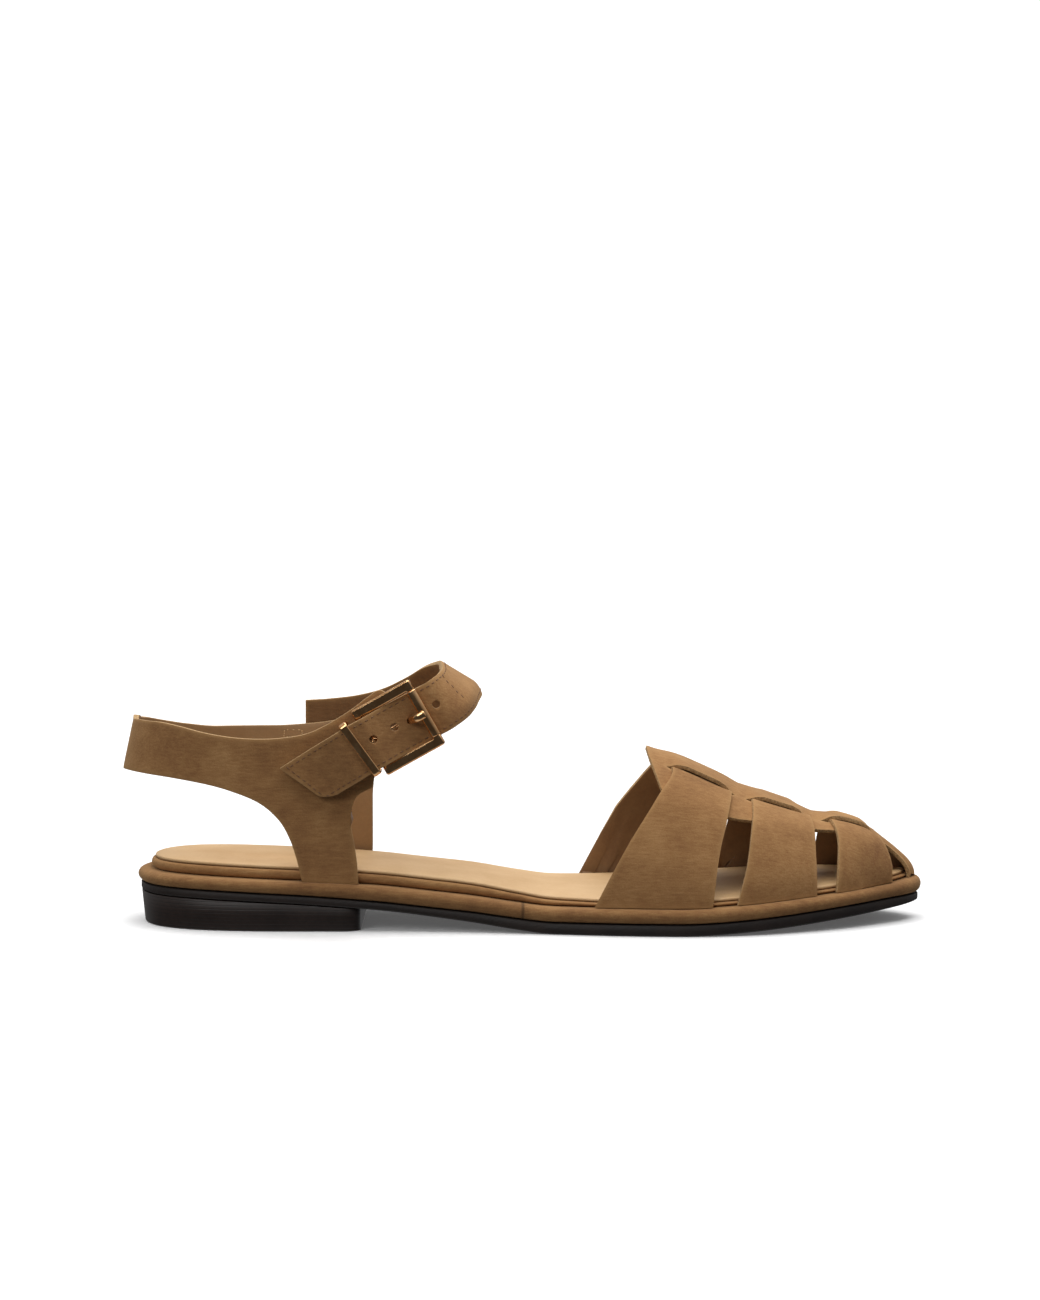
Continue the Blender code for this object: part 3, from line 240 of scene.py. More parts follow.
# Ankle strap in front of the buckle: middle of its inner face, then its width direction
LOOP = (
    (0.389, -0.372, 0.852, -0.53, 0.08, 0.85),
    (0.402, -0.325, 0.884, -0.60, 0.18, 0.77),
    (0.409, -0.250, 0.910, -0.70, 0.24, 0.67),
    (0.411, -0.140, 0.928, -0.80, 0.20, 0.57),
    (0.412, -0.020, 0.934, -0.86, 0.05, 0.50),
    (0.410, 0.090, 0.927, -0.84, -0.10, 0.53),
    (0.400, 0.195, 0.901, -0.72, -0.20, 0.66),
    (0.379, 0.275, 0.855, -0.55, -0.18, 0.82),
    (0.351, 0.330, 0.786, -0.36, -0.10, 0.94),
    (0.315, 0.360, 0.719, -0.20, -0.03, 0.98),
    (0.278, 0.368, 0.682, -0.09, 0.00, 1.00),
    (0.240, 0.370, 0.664, -0.03, 0.00, 1.00),
    (0.207, 0.370, 0.656, 0.00, 0.00, 1.00),
)
# Slanted free end of the ankle strap: place across it, share of the free end's length
TIP = (
    (-0.50, 0.480),
    (-0.46, 0.590),
    (-0.42, 0.655),
    (-0.34, 0.735),
    (0.00, 0.860),
    (0.40, 1.008),
    (0.50, 1.035),
)
# Side view of the prong: share of the way from the hinge to the roller, share of its height
PRONG = (
    (0.104, 0.260),
    (0.260, 0.215),
    (0.469, 0.147),
    (0.635, 0.147),
    (0.708, 0.339),
    (0.771, 0.678),
    (0.828, 0.904),
    (0.906, 1.000),
    (1.000, 1.000),
)


class Side(Enum):
    """The two sides of the foot, by the sign of Y."""

    OUTER = -1
    INNER = 1


# Numbers and curves


def ease(share: float) -> float:
    """Smooth step from 0 to 1."""
    share = min(max(share, 0.0), 1.0)
    return share * share * (3.0 - 2.0 * share)


def turn_of(station: float) -> float:
    """Angle whose even steps crowd the stations at the heel and the toe."""
    return math.acos(max(-1.0, min(1.0, 1.0 - 2.0 * station)))


def station_of(turn: float) -> float:
    """Share of the sole's length that an angle from turn_of stands for."""
    return (1.0 - math.cos(turn)) / 2.0


@dataclass
class Column:
    """One column of a table, read smoothly at any place along another.

    Attributes:
        places: Where the values are given, rising.
        values: The values at those places.
    """

    places: list[float]
    values: list[float]
    slopes: list[float] = field(init=False)

    def __post_init__(self) -> None:
        """Works out how steeply the line passes each value."""
        xs, ys, last = self.places, self.values, len(self.places) - 1
        self.slopes = []
        for i in range(last + 1):
            low, high = max(0, i - 1), min(last, i + 1)
            self.slopes.append((ys[high] - ys[low]) / (xs[high] - xs[low]))
        for i in range(1, last + 1):
            if ys[i] == ys[i - 1]:
                self.slopes[i] = self.slopes[i - 1] = 0.0

    def at(self, place: float) -> float:
        """Reads the line.

        Args:
            place: Where to read it.

        Returns:
            The value there, and the nearest end's value outside the table.
        """
        xs, ys, slopes = self.places, self.values, self.slopes
        x = min(max(place, xs[0]), xs[-1])
        i = min(max(bisect_left(xs, x) - 1, 0), len(xs) - 2)
        width = xs[i + 1] - xs[i]
        t = (x - xs[i]) / width
        rise = t * t * (3.0 - 2.0 * t)
        return (
            ys[i] * (1.0 - rise)
            + ys[i + 1] * rise
            + slopes[i] * width * t * (1.0 - t) ** 2
            - slopes[i + 1] * width * t * t * (1.0 - t)
        )


def column(rows: Sequence[Sequence[float]], number: int, spread: bool = False) -> Column:
    """Takes one column out of a table.

    Args:
        rows: The table, with the places in its first column.
        number: Which column to read.
        spread: True where the places are stations, read by their turn.

    Returns:
        The column as a smooth line.
    """
    places = [turn_of(row[0]) if spread else row[0] for row in rows]
    return Column(places, [row[number] for row in rows])


def numbered(values: Sequence[float]) -> Column:
    """A smooth line through values that stand at 0, 1, 2 and so on."""
    return Column([float(i) for i in range(len(values))], list(values))


@dataclass
class Line:
    """A smooth line through points, read by the number of the point.

    Attributes:
        points: Turn and height of each point.
        reach: Length that a turn of one radian stands for, to space the points evenly.
    """

    points: list[tuple[float, float]]
    reach: float = 0.11

    def __post_init__(self) -> None:
        """Measures the line from point to point."""
        self.lengths = [0.0]
        for a, b in zip(self.points, self.points[1:]):
            step = math.hypot((b[0] - a[0]) * self.reach, b[1] - a[1])
            self.lengths.append(self.lengths[-1] + step)
        self.turns = Column(self.lengths, [p[0] for p in self.points])
        self.heights = Column(self.lengths, [p[1] for p in self.points])

    def at(self, number: float) -> tuple[float, float]:
        """Turn and height at the point of that number, or between two points."""
        low = min(max(int(number), 0), len(self.points) - 2)
        start, end = self.lengths[low], self.lengths[low + 1]
        length = start + (end - start) * (number - low)
        return self.turns.at(length), self.heights.at(length)


# The last


@dataclass
class Last:
    """The form that the sandal is built on, from the floor up to the ankle.

    Points are given in the sole's own axes: X from the back of the heel, -Y to the outer side.

    Attributes:
        length: Length of the sole.
        ball: Width of the sole over the ball of the foot.
        seat_rise: Underside of the outsole at the heel, above the floor.
        toe_spring: Underside of the outsole at the toe, above the floor.
        outsole: Thickness of the outsole.
        rand: Height of the suede-wrapped rand.
        footbed: Thickness of the footbed at the heel.
        fit: Clearance between pieces that touch.
        strap_step: From the rand's outline in to the straps' outer face.
        wall: Thickness of the straps of the vamp.
        instep: Crown above the rand at the back of the vamp.
        ankle: Top of the ankle strap above the rand at the heel.
        heel_lean: How far the heel band bulges out behind.
        heel_waist: Share by which it narrows towards its top.
        heel_swell: Height at which it bulges most, as a share of the ankle's.
        heel_pull: How fast the bulge falls off above that.
        heel_turn: Turn at which the bulge has ended.
    """

    length: float = 263.0 * MM
    ball: float = 80.6 * MM
    seat_rise: float = 10.9 * MM
    toe_spring: float = 6.4 * MM
    outsole: float = 3.7 * MM
    rand: float = 4.8 * MM
    footbed: float = 3.0 * MM
    fit: float = 0.3 * MM
    strap_step: float = 2.4 * MM
    wall: float = 1.6 * MM
    instep: float = 46.5 * MM
    ankle: float = 67.2 * MM
    heel_lean: float = 7.3 * MM
    heel_waist: float = 0.06
    heel_swell: float = 0.55
    heel_pull: float = 1.1
    heel_turn: float = 1.1

    def __post_init__(self) -> None:
        """Makes smooth lines of the tables."""
        self.plan = {side: column(PLAN, 1 + (side > 0), True) for side in (-1, 1)}
        names = ("seat", "spring", "outsole", "rand", "footbed")
        self.side = {name: column(SIDE, 1 + i) for i, name in enumerate(names)}
        self.crown = {
            name: column(CROWN, 1 + i, True) for i, name in enumerate(("height", "drift", "full"))
        }

    def outline(self, turn: float, side: int) -> Vector:
        """Plan point of the rand's outline on one side."""
        half = self.plan[side].at(turn)
        return Vector((self.length * station_of(turn), side * half * self.ball))

    def edge(self, turn: float, side: int, inset: float) -> Vector:
        """Plan point of the outline moved inwards.

        Args:
            turn: Place along the sole.
            side: -1 for the outer side and +1 for the inner one.
            inset: Distance inwards, at right angles to the outline.

        Returns:
            The point in plan.
        """
        step = 0.01
        if turn <= step:
            along = Vector((0.0, side))
        elif turn >= math.pi - step:
            along = Vector((0.0, -side))
        else:
            along = self.outline(min(turn + step, math.pi), side) - self.outline(turn - step, side)
        inward = Vector((along.y, -along.x)).normalized() * side
        return self.outline(turn, side) + inward * inset

    def floor_line(self, x: float) -> float:
        """Underside of the outsole."""
        station = x / self.length
        seat, spring = self.side["seat"].at(station), self.side["spring"].at(station)
        return seat * self.seat_rise + spring * self.toe_spring

    def rand_bottom(self, x: float) -> float:
        """Underside of the rand."""
        thick = self.side["outsole"].at(x / self.length) * self.outsole
        return self.floor_line(x) + thick + self.fit

    def rand_top(self, x: float) -> float:
        """Top of the rand."""
        return self.rand_bottom(x) + self.side["rand"].at(x / self.length) * self.rand

    def footbed_top(self, x: float) -> float:
        """Top of the footbed."""
        thick = self.side["footbed"].at(x / self.length) * self.footbed
        return self.rand_top(x) + self.fit + thick

    def feather(self, x: float) -> float:
        """Height at which the straps meet the sole."""
        return self.rand_top(x) + self.fit

    def vamp_point(self, turn: float, around: float) -> Vector:
        """Point of the last over the forefoot.

        Args:
            turn: Place along the sole.
            around: -1 at the outer feather edge, 0 on the crown, +1 at the inner one.

        Returns:
            The point.
        """
        inset = self.strap_step + self.wall
        foot = self.edge(turn, -1 if around < 0 else 1, inset)
        x = inset + (self.length - 2 * inset) * station_of(turn)
        middle = self.crown["drift"].at(turn) * self.ball
        rise = (1.0 - abs(around)) * math.pi / 2.0
        power = 2.0 / self.crown["full"].at(turn)
        out = max(math.cos(rise), 0.0) ** power
        up = max(math.sin(rise), 0.0) ** power
        return Vector((
            x + (foot.x - x) * out,
            middle + (foot.y - middle) * out,
            self.feather(x) + self.instep * self.crown["height"].at(turn) * up,
        ))

    def around_at(self, turn: float, offset: float) -> float:
        """Place round the last that lies offset to one side of the crown line."""
        side = -1 if offset < 0 else 1
        foot = self.edge(turn, side, self.strap_step + self.wall)
        reach = abs(foot.y - self.crown["drift"].at(turn) * self.ball)
        out = min(abs(offset) / max(reach, 1e-6), 1.0)
        return side * (1.0 - math.acos(out ** (self.crown["full"].at(turn) / 2.0)) * 2.0 / math.pi)

    def off_the_foot(self, point: Vector) -> Vector:
        """Direction from the inside of the forefoot to a point of the vamp."""
        return point - Vector((min(point.x, 0.93 * self.length), 4 * MM, 15 * MM))

    def ankle_height(self, share: float) -> float:
        """Height above the floor of a share of the ankle's height."""
        return self.rand_top(0.0) + share * self.ankle

    def heel_point(self, turn: float, side: int, height: float, inset: float) -> Vector:
        """Point of the heel's surface.

        Args:
            turn: Place along the sole.
            side: -1 for the outer side and +1 for the inner one.
            height: Height above the floor.
            inset: Distance inwards from the rand's outline.

        Returns:
            The point.
        """
        foot = self.edge(turn, side, inset)
        rise = (height - self.rand_top(foot.x)) / (self.heel_swell * self.ankle)
        rise = min(max(rise, 0.0), 1.35)
        swell = math.sin(min(rise, 1.0) * math.pi / 2)
        swell *= 1.0 - self.heel_pull * max(rise - 0.9, 0.0)
        back = math.cos(min(turn / self.heel_turn, 1.0) * math.pi / 2)
        waist = 1.0 - self.heel_waist * ease(rise) * back
        return Vector((foot.x - self.heel_lean * swell * back, foot.y * waist, height))


# Mesh tools


def mapped_grid(mesh: bmesh.types.BMesh, columns: int, rows: int, place: Place) -> list:
    """Adds a grid whose points place puts on a surface.

    Args:
        mesh: The mesh to add it to.
        columns: Squares along u.
        rows: Squares along v.
        place: Gives the point for u and v from 0 to 1.

    Returns:
        The grid's vertices.
    """
    made = bmesh.ops.create_grid(mesh, x_segments=columns, y_segments=rows, size=0.5)
    for vert in made["verts"]:
        vert.co = place(vert.co.x + 0.5, vert.co.y + 0.5)
    return made["verts"]


def close_up(mesh: bmesh.types.BMesh, reach: float = 2e-6) -> None:
    """Merges the seams and poles of a closed mesh and turns its faces outwards."""
    bmesh.ops.remove_doubles(mesh, verts=mesh.verts, dist=reach)
    bmesh.ops.dissolve_degenerate(mesh, edges=mesh.edges, dist=reach / 2)
    bmesh.ops.recalc_face_normals(mesh, faces=mesh.faces)


def face_outwards(mesh: bmesh.types.BMesh, outward: Callable[[Vector], Vector]) -> None:
    """Turns an open sheet so that its normals lie to the outward side."""
    mesh.normal_update()
    total = sum(vert.normal.dot(outward(vert.co).normalized()) for vert in mesh.verts)
    if total < 0:
        bmesh.ops.reverse_faces(mesh, faces=mesh.faces)
    mesh.normal_update()


def mark_edges(mesh: bmesh.types.BMesh, reach: float) -> None:
    """Writes how near each point lies to a cut edge, as the attribute "edge".

    Args:
        mesh: An open sheet.
        reach: Distance over which it fades from 1 to 0.
    """
    layer = mesh.verts.layers.float.new("edge")
    rim = [vert for vert in mesh.verts if vert.is_boundary]
    tree = KDTree(len(rim))
    for i, vert in enumerate(rim):
        tree.insert(vert.co, i)
    tree.balance()
    for vert in mesh.verts:
        vert[layer] = max(0.0, 1.0 - tree.find(vert.co)[2] / reach)


def oval(turn: float, wide: float, deep: float) -> tuple[float, float]:
    """Point of an oval section at a share of the way round it."""
    return wide * math.cos(2.0 * math.pi * turn), deep * math.sin(2.0 * math.pi * turn)


def bevelled(turn: float, wide: float, deep: float, bevel: float) -> tuple[float, float]:
    """Point of a box section with bevelled corners.

    Args:
        turn: Share of the way round it, a multiple of 1/32 plus 1/64.
        wide: Half its width.
        deep: Half its depth.
        bevel: What each bevel takes off the two faces that it joins.

    Returns:
        The point. Each of the eight edges of the section has four points.
    """
    half_ring = (
        (wide, -deep + bevel), (wide, deep - bevel), (wide - bevel, deep), (-wide + bevel, deep)
    )
    ring = (*half_ring, *((-x, -y) for x, y in half_ring))
    place = (turn * 8.0) % 8.0
    edge = int(place)
    t = (0.08, 0.3, 0.7, 0.92)[int((place - edge) * 4.0)]
    (x1, y1), (x2, y2) = ring[edge], ring[(edge + 1) % 8]
    return x1 + (x2 - x1) * t, y1 + (y2 - y1) * t


def tube(
    mesh: bmesh.types.BMesh,
    spine: Sequence[tuple[Vector, Vector, Vector]],
    section: Callable[[float, float], tuple[float, float]],
    sides: int,
    closed: bool,
) -> None:
    """Adds a bar along a path.

    Args:
        mesh: The mesh to add it to.
        spine: Centre, sideways and upward direction at each step.
        section: Offsets sideways and upwards at a share of the path and of the way round.
        sides: Faces round the bar.
        closed: True for a ring.
    """
    count = len(spine)
    steps = count if closed else count - 1

    def place(u: float, v: float) -> Vector:
        i, k = round(u * steps), round(v * sides)
        centre, out, up = spine[i % count]
        x, y = section(i / steps, ((k % sides) + 0.5) / sides)
        return centre + out * x + up * y

    mapped_grid(mesh, steps, sides, place)


def ring_frames(points: Sequence[Vector], up: Vector) -> list:
    """Centre, sideways and upward direction along a ring that lies flat against up."""
    count = len(points)
    return [
        (point, (points[(i + 1) % count] - points[i - 1]).cross(up).normalized(), up)
        for i, point in enumerate(points)
    ]


def smooth_path(points: Sequence[Vector], steps: int) -> list[Vector]:
    """A curve through points, with steps points to each stretch."""
    tracks = [numbered([p[axis] for p in points]) for axis in range(3)]
    count = (len(points) - 1) * steps
    return [Vector(track.at(i / steps) for track in tracks) for i in range(count + 1)]


# Finishes

WHITE = (1.0, 1.0, 1.0, 1.0)


def linear(colour: str) -> tuple[float, float, float, float]:
    """Turns an sRGB hex colour into the linear one that shaders take."""
    parts = [int(colour[i : i + 2], 16) / 255.0 for i in (0, 2, 4)]
    return (*(c / 12.92 if c <= 0.04045 else ((c + 0.055) / 1.055) ** 2.4 for c in parts), 1.0)


def feed(tree: Tree, node: bpy.types.Node, values: dict) -> None:
    """Gives a node its properties and inputs.

    Args:
        tree: The node tree.
        node: The node.
        values: Sockets and plain values, by the name of a property or the name or number of an
            input.
    """
    for key, value in values.items():
        if isinstance(value, bpy.types.NodeSocket):
            tree.links.new(value, node.inputs[key])
        elif isinstance(key, str) and hasattr(node, key):
            setattr(node, key, value)
        else:
            node.inputs[key].default_value = value


def add_node(tree: Tree, kind: str, values: dict | None = None) -> bpy.types.Node:
    """Adds one node of a kind, with its values as feed takes them."""
    node = tree.nodes.new(kind)
    feed(tree, node, values or {})
    return node


def ramp(tree: Tree, factor: Socket, stops: dict) -> Socket:
    """Adds a colour ramp with stops given as colours by place, and gives its colour."""
    node = add_node(tree, "ShaderNodeValToRGB", {"Fac": factor})
    band = node.color_ramp
    places = sorted(stops)
    band.elements[0].position, band.elements[1].position = places[0], places[-1]
    for place in places[1:-1]:
        band.elements.new(place)
    for element, place in zip(band.elements, places):
        colour = stops[place]
        element.color = linear(colour) if isinstance(colour, str) else colour
    return node.outputs["Color"]


def noise(tree: Tree, vector: Socket, size: float, detail: float = 2.0) -> Socket:
    """Adds cloudy noise whose spots are about size across, and gives its factor."""
    values = {"Scale": 1.0 / size, "Detail": detail, "Roughness": 0.55, "Vector": vector}
    return add_node(tree, "ShaderNodeTexNoise", values).outputs["Fac"]


def cells(tree: Tree, vector: Socket, size: float) -> Socket:
    """Adds cells about size across, and gives the distance from their middles."""
    values = {"Scale": 1.0 / size, "Vector": vector}
    return add_node(tree, "ShaderNodeTexVoronoi", values).outputs["Distance"]


def maths(tree: Tree, operation: str, *values: Socket | float) -> Socket:
    """Adds one sum on sockets and plain numbers, and gives its result."""
    values = {"operation": operation, **dict(enumerate(values))}
    return add_node(tree, "ShaderNodeMath", values).outputs[0]


def blend_of(tree: Tree, parts: Sequence[tuple[Socket, float]]) -> Socket:
    """Adds up factors, each with its weight."""
    (first, weight), *others = parts
    total = maths(tree, "MULTIPLY", first, weight)
    for socket, weight in others:
        total = maths(tree, "MULTIPLY_ADD", socket, weight, total)
    return total


def spread(tree: Tree, value: Socket, of: Span = (0.0, 1.0), to: Span = (0.0, 1.0)) -> Socket:
    """Maps a value evenly from one range to another, and holds it at the ends."""
    limits = {"From Min": of[0], "From Max": of[1], "To Min": to[0], "To Max": to[1]}
    return add_node(tree, "ShaderNodeMapRange", {**limits, "Value": value}).outputs["Result"]


def stain(tree: Tree, below: Socket, colour: str, share: Socket) -> Socket:
    """Lays a colour over another by a share."""
    values = {"data_type": "RGBA", 0: share, 6: below, 7: linear(colour)}
    return add_node(tree, "ShaderNodeMix", values).outputs[2]


def relief(tree: Tree, height: Socket, strength: float, depth: float) -> Socket:
    """Turns a height into the normal of a fine relief of that depth."""
    values = {"Strength": strength, "Distance": depth, "Height": height}
    return add_node(tree, "ShaderNodeBump", values).outputs["Normal"]


@dataclass(frozen=True)
class Finish:
    """A surface finish. Each kind gives its own surface."""

    name: str

    def draw(self) -> bpy.types.Material:
        """Makes the material."""
        made = bpy.data.materials.new(self.name)
        made.use_nodes = True
        tree = made.node_tree
        where = add_node(tree, "ShaderNodeTexCoord").outputs["Object"]
        feed(tree, tree.nodes["Principled BSDF"], self.surface(tree, where))
        return made

    def surface(self, tree: Tree, where: Socket) -> dict:
        """Draws the surface.

        Args:
            tree: The material's node tree.
            where: Socket of the object's own coordinates.

        Returns:
            Sockets and plain values by the name of the shader's input.
        """
        raise NotImplementedError


@dataclass(frozen=True)
class Suede(Finish):
    """Cow suede, buffed: a dull nap in cloudy patches that brushes lighter and darker.

    Attributes:
        dark: Colour where the nap lies away from the eye.
        middle: Colour of the hide.
        light: Colour where it is brushed up.
        edge: Colour of the nap at cut edges, which handling has flattened.
        sheen: Colour of the nap's soft shine at a flat angle.
        seam: Place along X of a joint in the strip, on the outer side, if it has one.
        seam_dark: Colour in that joint.
    """

    dark: str = "7C5534"
    middle: str = "9A7046"
    light: str = "B3895A"
    edge: str = "B28A5B"
    sheen: str = "D9B98C"
    seam: float | None = None
    seam_dark: str = "4A3320"

    def surface(self, tree: Tree, where: Socket) -> dict:
        """Draws the surface."""
        brushed = add_node(
            tree,
            "ShaderNodeMapping",
            {"Scale": (0.16, 1.0, 1.0), "Rotation": (0.0, 0.12, 0.0), "Vector": where},
        ).outputs["Vector"]
        patches = noise(tree, where, 22 * MM, 3.0)
        mottle = noise(tree, where, 6 * MM, 4.0)
        # Nap strokes are about 0.4 mm wide on the hide and drawn at 0.7 mm to show.
        strokes = noise(tree, brushed, 0.7 * MM, 3.0)
        fibres = noise(tree, where, 0.4 * MM)
        tone = blend_of(tree, ((patches, 0.34), (mottle, 0.2), (strokes, 0.26), (fibres, 0.2)))
        hide = ramp(tree, tone, {0.34: self.dark, 0.5: self.middle, 0.66: self.light})
        near_edge = add_node(tree, "ShaderNodeAttribute", {"attribute_name": "edge"}).outputs["Fac"]
        worn = maths(tree, "MULTIPLY", maths(tree, "POWER", near_edge, 3.0), 0.6)
        colour = stain(tree, hide, self.edge, worn)
        height = blend_of(tree, ((fibres, 0.3), (strokes, 0.45), (mottle, 0.5)))
        if self.seam is not None:
            line = self.seam_line(tree, where)
            colour = stain(tree, colour, self.seam_dark, maths(tree, "MULTIPLY", line, 0.7))
            height = blend_of(tree, ((height, 1.0), (line, -2.0)))
        return {
            "Base Color": colour,
            "Normal": relief(tree, height, 0.5, 0.35 * MM),
            "Roughness": 0.95,
            "Specular IOR Level": 0.25,
            "Sheen Weight": 0.35,
            "Sheen Roughness": 0.55,
            "Sheen Tint": linear(self.sheen),
        }

    def seam_line(self, tree: Tree, where: Socket) -> Socket:
        """Line where the two ends of a strip meet: 1 in the joint and 0 away from it."""
        split = add_node(tree, "ShaderNodeSeparateXYZ", {0: where}).outputs
        away = maths(tree, "ABSOLUTE", maths(tree, "SUBTRACT", split["X"], self.seam))
        line = spread(tree, away, (0.2 * MM, 0.7 * MM), (1.0, 0.0))
        return maths(tree, "MULTIPLY", line, maths(tree, "LESS_THAN", split["Y"], 0.0))


@dataclass(frozen=True)
class LiningLeather(Finish):
    """Smooth lining leather, glazed: pale and even, with fine pores and a soft shine.

    Attributes:
        middle: Its colour.
        dark: Colour of the cloudy darker parts.
        roughness: Dullness of the glaze.
    """

    middle: str
    dark: str
    roughness: float = 0.5

    def surface(self, tree: Tree, where: Socket) -> dict:
        """Draws the surface."""
        clouds = noise(tree, where, 22 * MM, 3.0)
        fine = noise(tree, where, 1.1 * MM, 3.0)
        pores = cells(tree, where, 0.7 * MM)
        tone = blend_of(tree, ((clouds, 0.75), (fine, 0.25)))
        height = blend_of(tree, ((pores, 0.5), (fine, 0.5)))
        return {
            "Base Color": ramp(tree, tone, {0.35: self.dark, 0.62: self.middle}),
            "Normal": relief(tree, height, 0.25, 0.12 * MM),
            "Roughness": self.roughness,
        }


@dataclass(frozen=True)
class CutEdge(Finish):
    """Raw cut edge of the straps: paler than the nap, with the fibres of the hide showing."""

    colour: str = "C2A070"
    dark: str = "93704A"

    def surface(self, tree: Tree, where: Socket) -> dict:
        """Draws the surface."""
        fibres = noise(tree, where, 0.6 * MM, 3.0)
        return {
            "Base Color": ramp(tree, fibres, {0.35: self.dark, 0.6: self.colour}),
            "Normal": relief(tree, fibres, 0.4, 0.2 * MM),
            "Roughness": 0.85,
        }


@dataclass(frozen=True)
class StackedHeel(Finish):
    """Leatherboard heel, stacked in layers, stained and waxed: dark with faint level lines."""

    layer: float = 1.25 * MM

    def surface(self, tree: Tree, where: Socket) -> dict:
        """Draws the surface."""
        split = add_node(tree, "ShaderNodeSeparateXYZ", {0: where}).outputs
        wobble = noise(tree, where, 30 * MM)
        level = blend_of(tree, ((split["Z"], 1.0 / self.layer), (wobble, 0.5)))
        line = spread(tree, maths(tree, "PINGPONG", level, 0.5), (0.0, 0.14))
        fine = noise(tree, where, 1.5 * MM, 4.0)
        clouds = noise(tree, where, 12 * MM, 3.0)
        tone = blend_of(tree, ((line, 0.35), (fine, 0.3), (clouds, 0.35)))
        height = blend_of(tree, ((line, 0.7), (fine, 0.3)))
        return {
            "Base Color": ramp(tree, tone, {0.3: "140D0B", 0.62: "241A16", 0.8: "30231E"}),
            "Normal": relief(tree, height, 0.35, 0.15 * MM),
            "Roughness": spread(tree, clouds, to=(0.36, 0.52)),
        }


@dataclass(frozen=True)
class SoleRubber(Finish):
    """Moulded thin rubber sole: near black, matt, with a fine pebble from the mould."""

    def surface(self, tree: Tree, where: Socket) -> dict:
        """Draws the surface."""
        # The pebble of the mould is about 0.5 mm and drawn at 0.9 mm to show.
        pebble = cells(tree, where, 0.9 * MM)
        dust = noise(tree, where, 9 * MM, 4.0)
        return {
            "Base Color": ramp(tree, dust, {0.35: "170F0C", 0.7: "261B16"}),
            "Normal": relief(tree, pebble, 0.4, 0.15 * MM),
            "Roughness": spread(tree, dust, to=(0.5, 0.68)),
        }


@dataclass(frozen=True)
class GoldPlate(Finish):
    """Brass-plated zinc casting, polished: pale gold, mirror-like with a soft haze."""

    colour: str = "EDBE8B"
    dark: str = "DDA873"

    def surface(self, tree: Tree, where: Socket) -> dict:
        """Draws the surface."""
        haze = noise(tree, where, 2.5 * MM, 3.0)
        return {
            "Base Color": ramp(tree, haze, {0.35: self.dark, 0.65: self.colour}),
            "Normal": relief(tree, haze, 0.06, 0.05 * MM),
            "Roughness": spread(tree, haze, to=(0.1, 0.24)),
            "Metallic": 1.0,
        }


@dataclass(frozen=True)
class Thread(Finish):
    """Waxed polyester sewing thread, twisted: a fine rib and a slight shine."""

    colour: str = "6A4A2E"

    def surface(self, tree: Tree, where: Socket) -> dict:
        """Draws the surface."""
        twist = noise(tree, where, 0.3 * MM, 1.0)
        pale = tuple(min(1.0, part * 1.6) for part in linear(self.colour))
        return {
            "Base Color": ramp(tree, twist, {0.4: self.colour, 0.65: pale}),
            "Normal": relief(tree, twist, 0.5, 0.08 * MM),
            "Roughness": 0.6,
        }


@dataclass(frozen=True)
class StudioPaper(Finish):
    """Matt white paper sweep of a studio, lit a little beyond white as in a cut-out photograph."""

    glow: float = 0.08

    def surface(self, tree: Tree, where: Socket) -> dict:
        """Draws the surface."""
        grain = noise(tree, where, 4 * MM)
        return {
            "Base Color": ramp(tree, grain, {0.3: "F2F2F2", 0.7: "F7F7F7"}),
            "Roughness": 0.9,
            "Emission Color": WHITE,
            "Emission Strength": self.glow,
        }


@cache
def material_of(finish: Finish) -> bpy.types.Material:
    """The material of a finish, drawn once."""
    return finish.draw()


SUEDE = Suede("tan_suede")
# The rand's suede is drawn darker than the uppers' suede: painted shade for the low rand, which
# lies in shade. The dark line at its seam is a real joint.
RAND_SUEDE = Suede("tan_suede_rand_painted_shade", "6D4A2D", "8B643E", "A67E51", seam=-0.6 * MM)
# Tan lining leather of the heel band, drawn darker than it is: partly its own tan, partly painted
# shade for the inside of the band.
BAND_LINING_SHADED = LiningLeather("tan_lining_leather_painted_shade", "A5815A", "95724C")
# Tan lining leather under the vamp, drawn dark brown: painted shade for the inside of the vamp
# under the straps.
VAMP_LINING_SHADED = LiningLeather("lining_leather_painted_shade_vamp", "8C6A47", "79583A")
SOCK_LEATHER = LiningLeather("beige_sock_leather", "D0AC7D", "C29B6A", 0.6)
# Inner faces of the ankle strap and the tab: the same tan suede drawn darker, as painted shade for
# faces that turn away from the light.
SHADED_INNER_SUEDE = Suede("tan_suede_inner_painted_shade", "5E4128", "7A5737", "8C6845")
EDGE = CutEdge("raw_cut_edge")
STACKED = StackedHeel("stacked_leatherboard")
RUBBER = SoleRubber("moulded_sole_rubber")
GOLD = GoldPlate("polished_pale_gold_plate")
THREAD = Thread("brown_sewing_thread")
PALE_THREAD = Thread("beige_sewing_thread", "C6A678")
PAPER = StudioPaper("white_studio_paper")


# Pieces


@dataclass(frozen=True)
class Wall:
    """How an open sheet becomes a cut piece of hide.

    Attributes:
        thickness: Thickness inwards from the outer face.
        rounding: Radius of the cut edges.
    """

    thickness: float
    rounding: float = 0.25 * MM


def add_object(name: str, data: bpy.types.ID | None) -> bpy.types.Object:
    """Puts an object into the scene."""
    made = bpy.data.objects.new(name, data)
    bpy.context.scene.collection.objects.link(made)
    return made


def add_mesh(
    name: str, mesh: bmesh.types.BMesh, finishes: Sequence[Finish], smooth: bool = True
) -> bpy.types.Object:
    """Puts a mesh, which is used up, into the scene.

    Args:
        name: Name of the object.
        mesh: Its mesh.
        finishes: Its finishes in the order of the material slots.
        smooth: Whether its faces are shaded smooth.

    Returns:
        The object.
    """
    data = bpy.data.meshes.new(name)
    for face in mesh.faces:
        face.smooth = smooth
    mesh.to_mesh(data)
    mesh.free()
    for finish in finishes:
        data.materials.append(material_of(finish))
    return add_object(name, data)


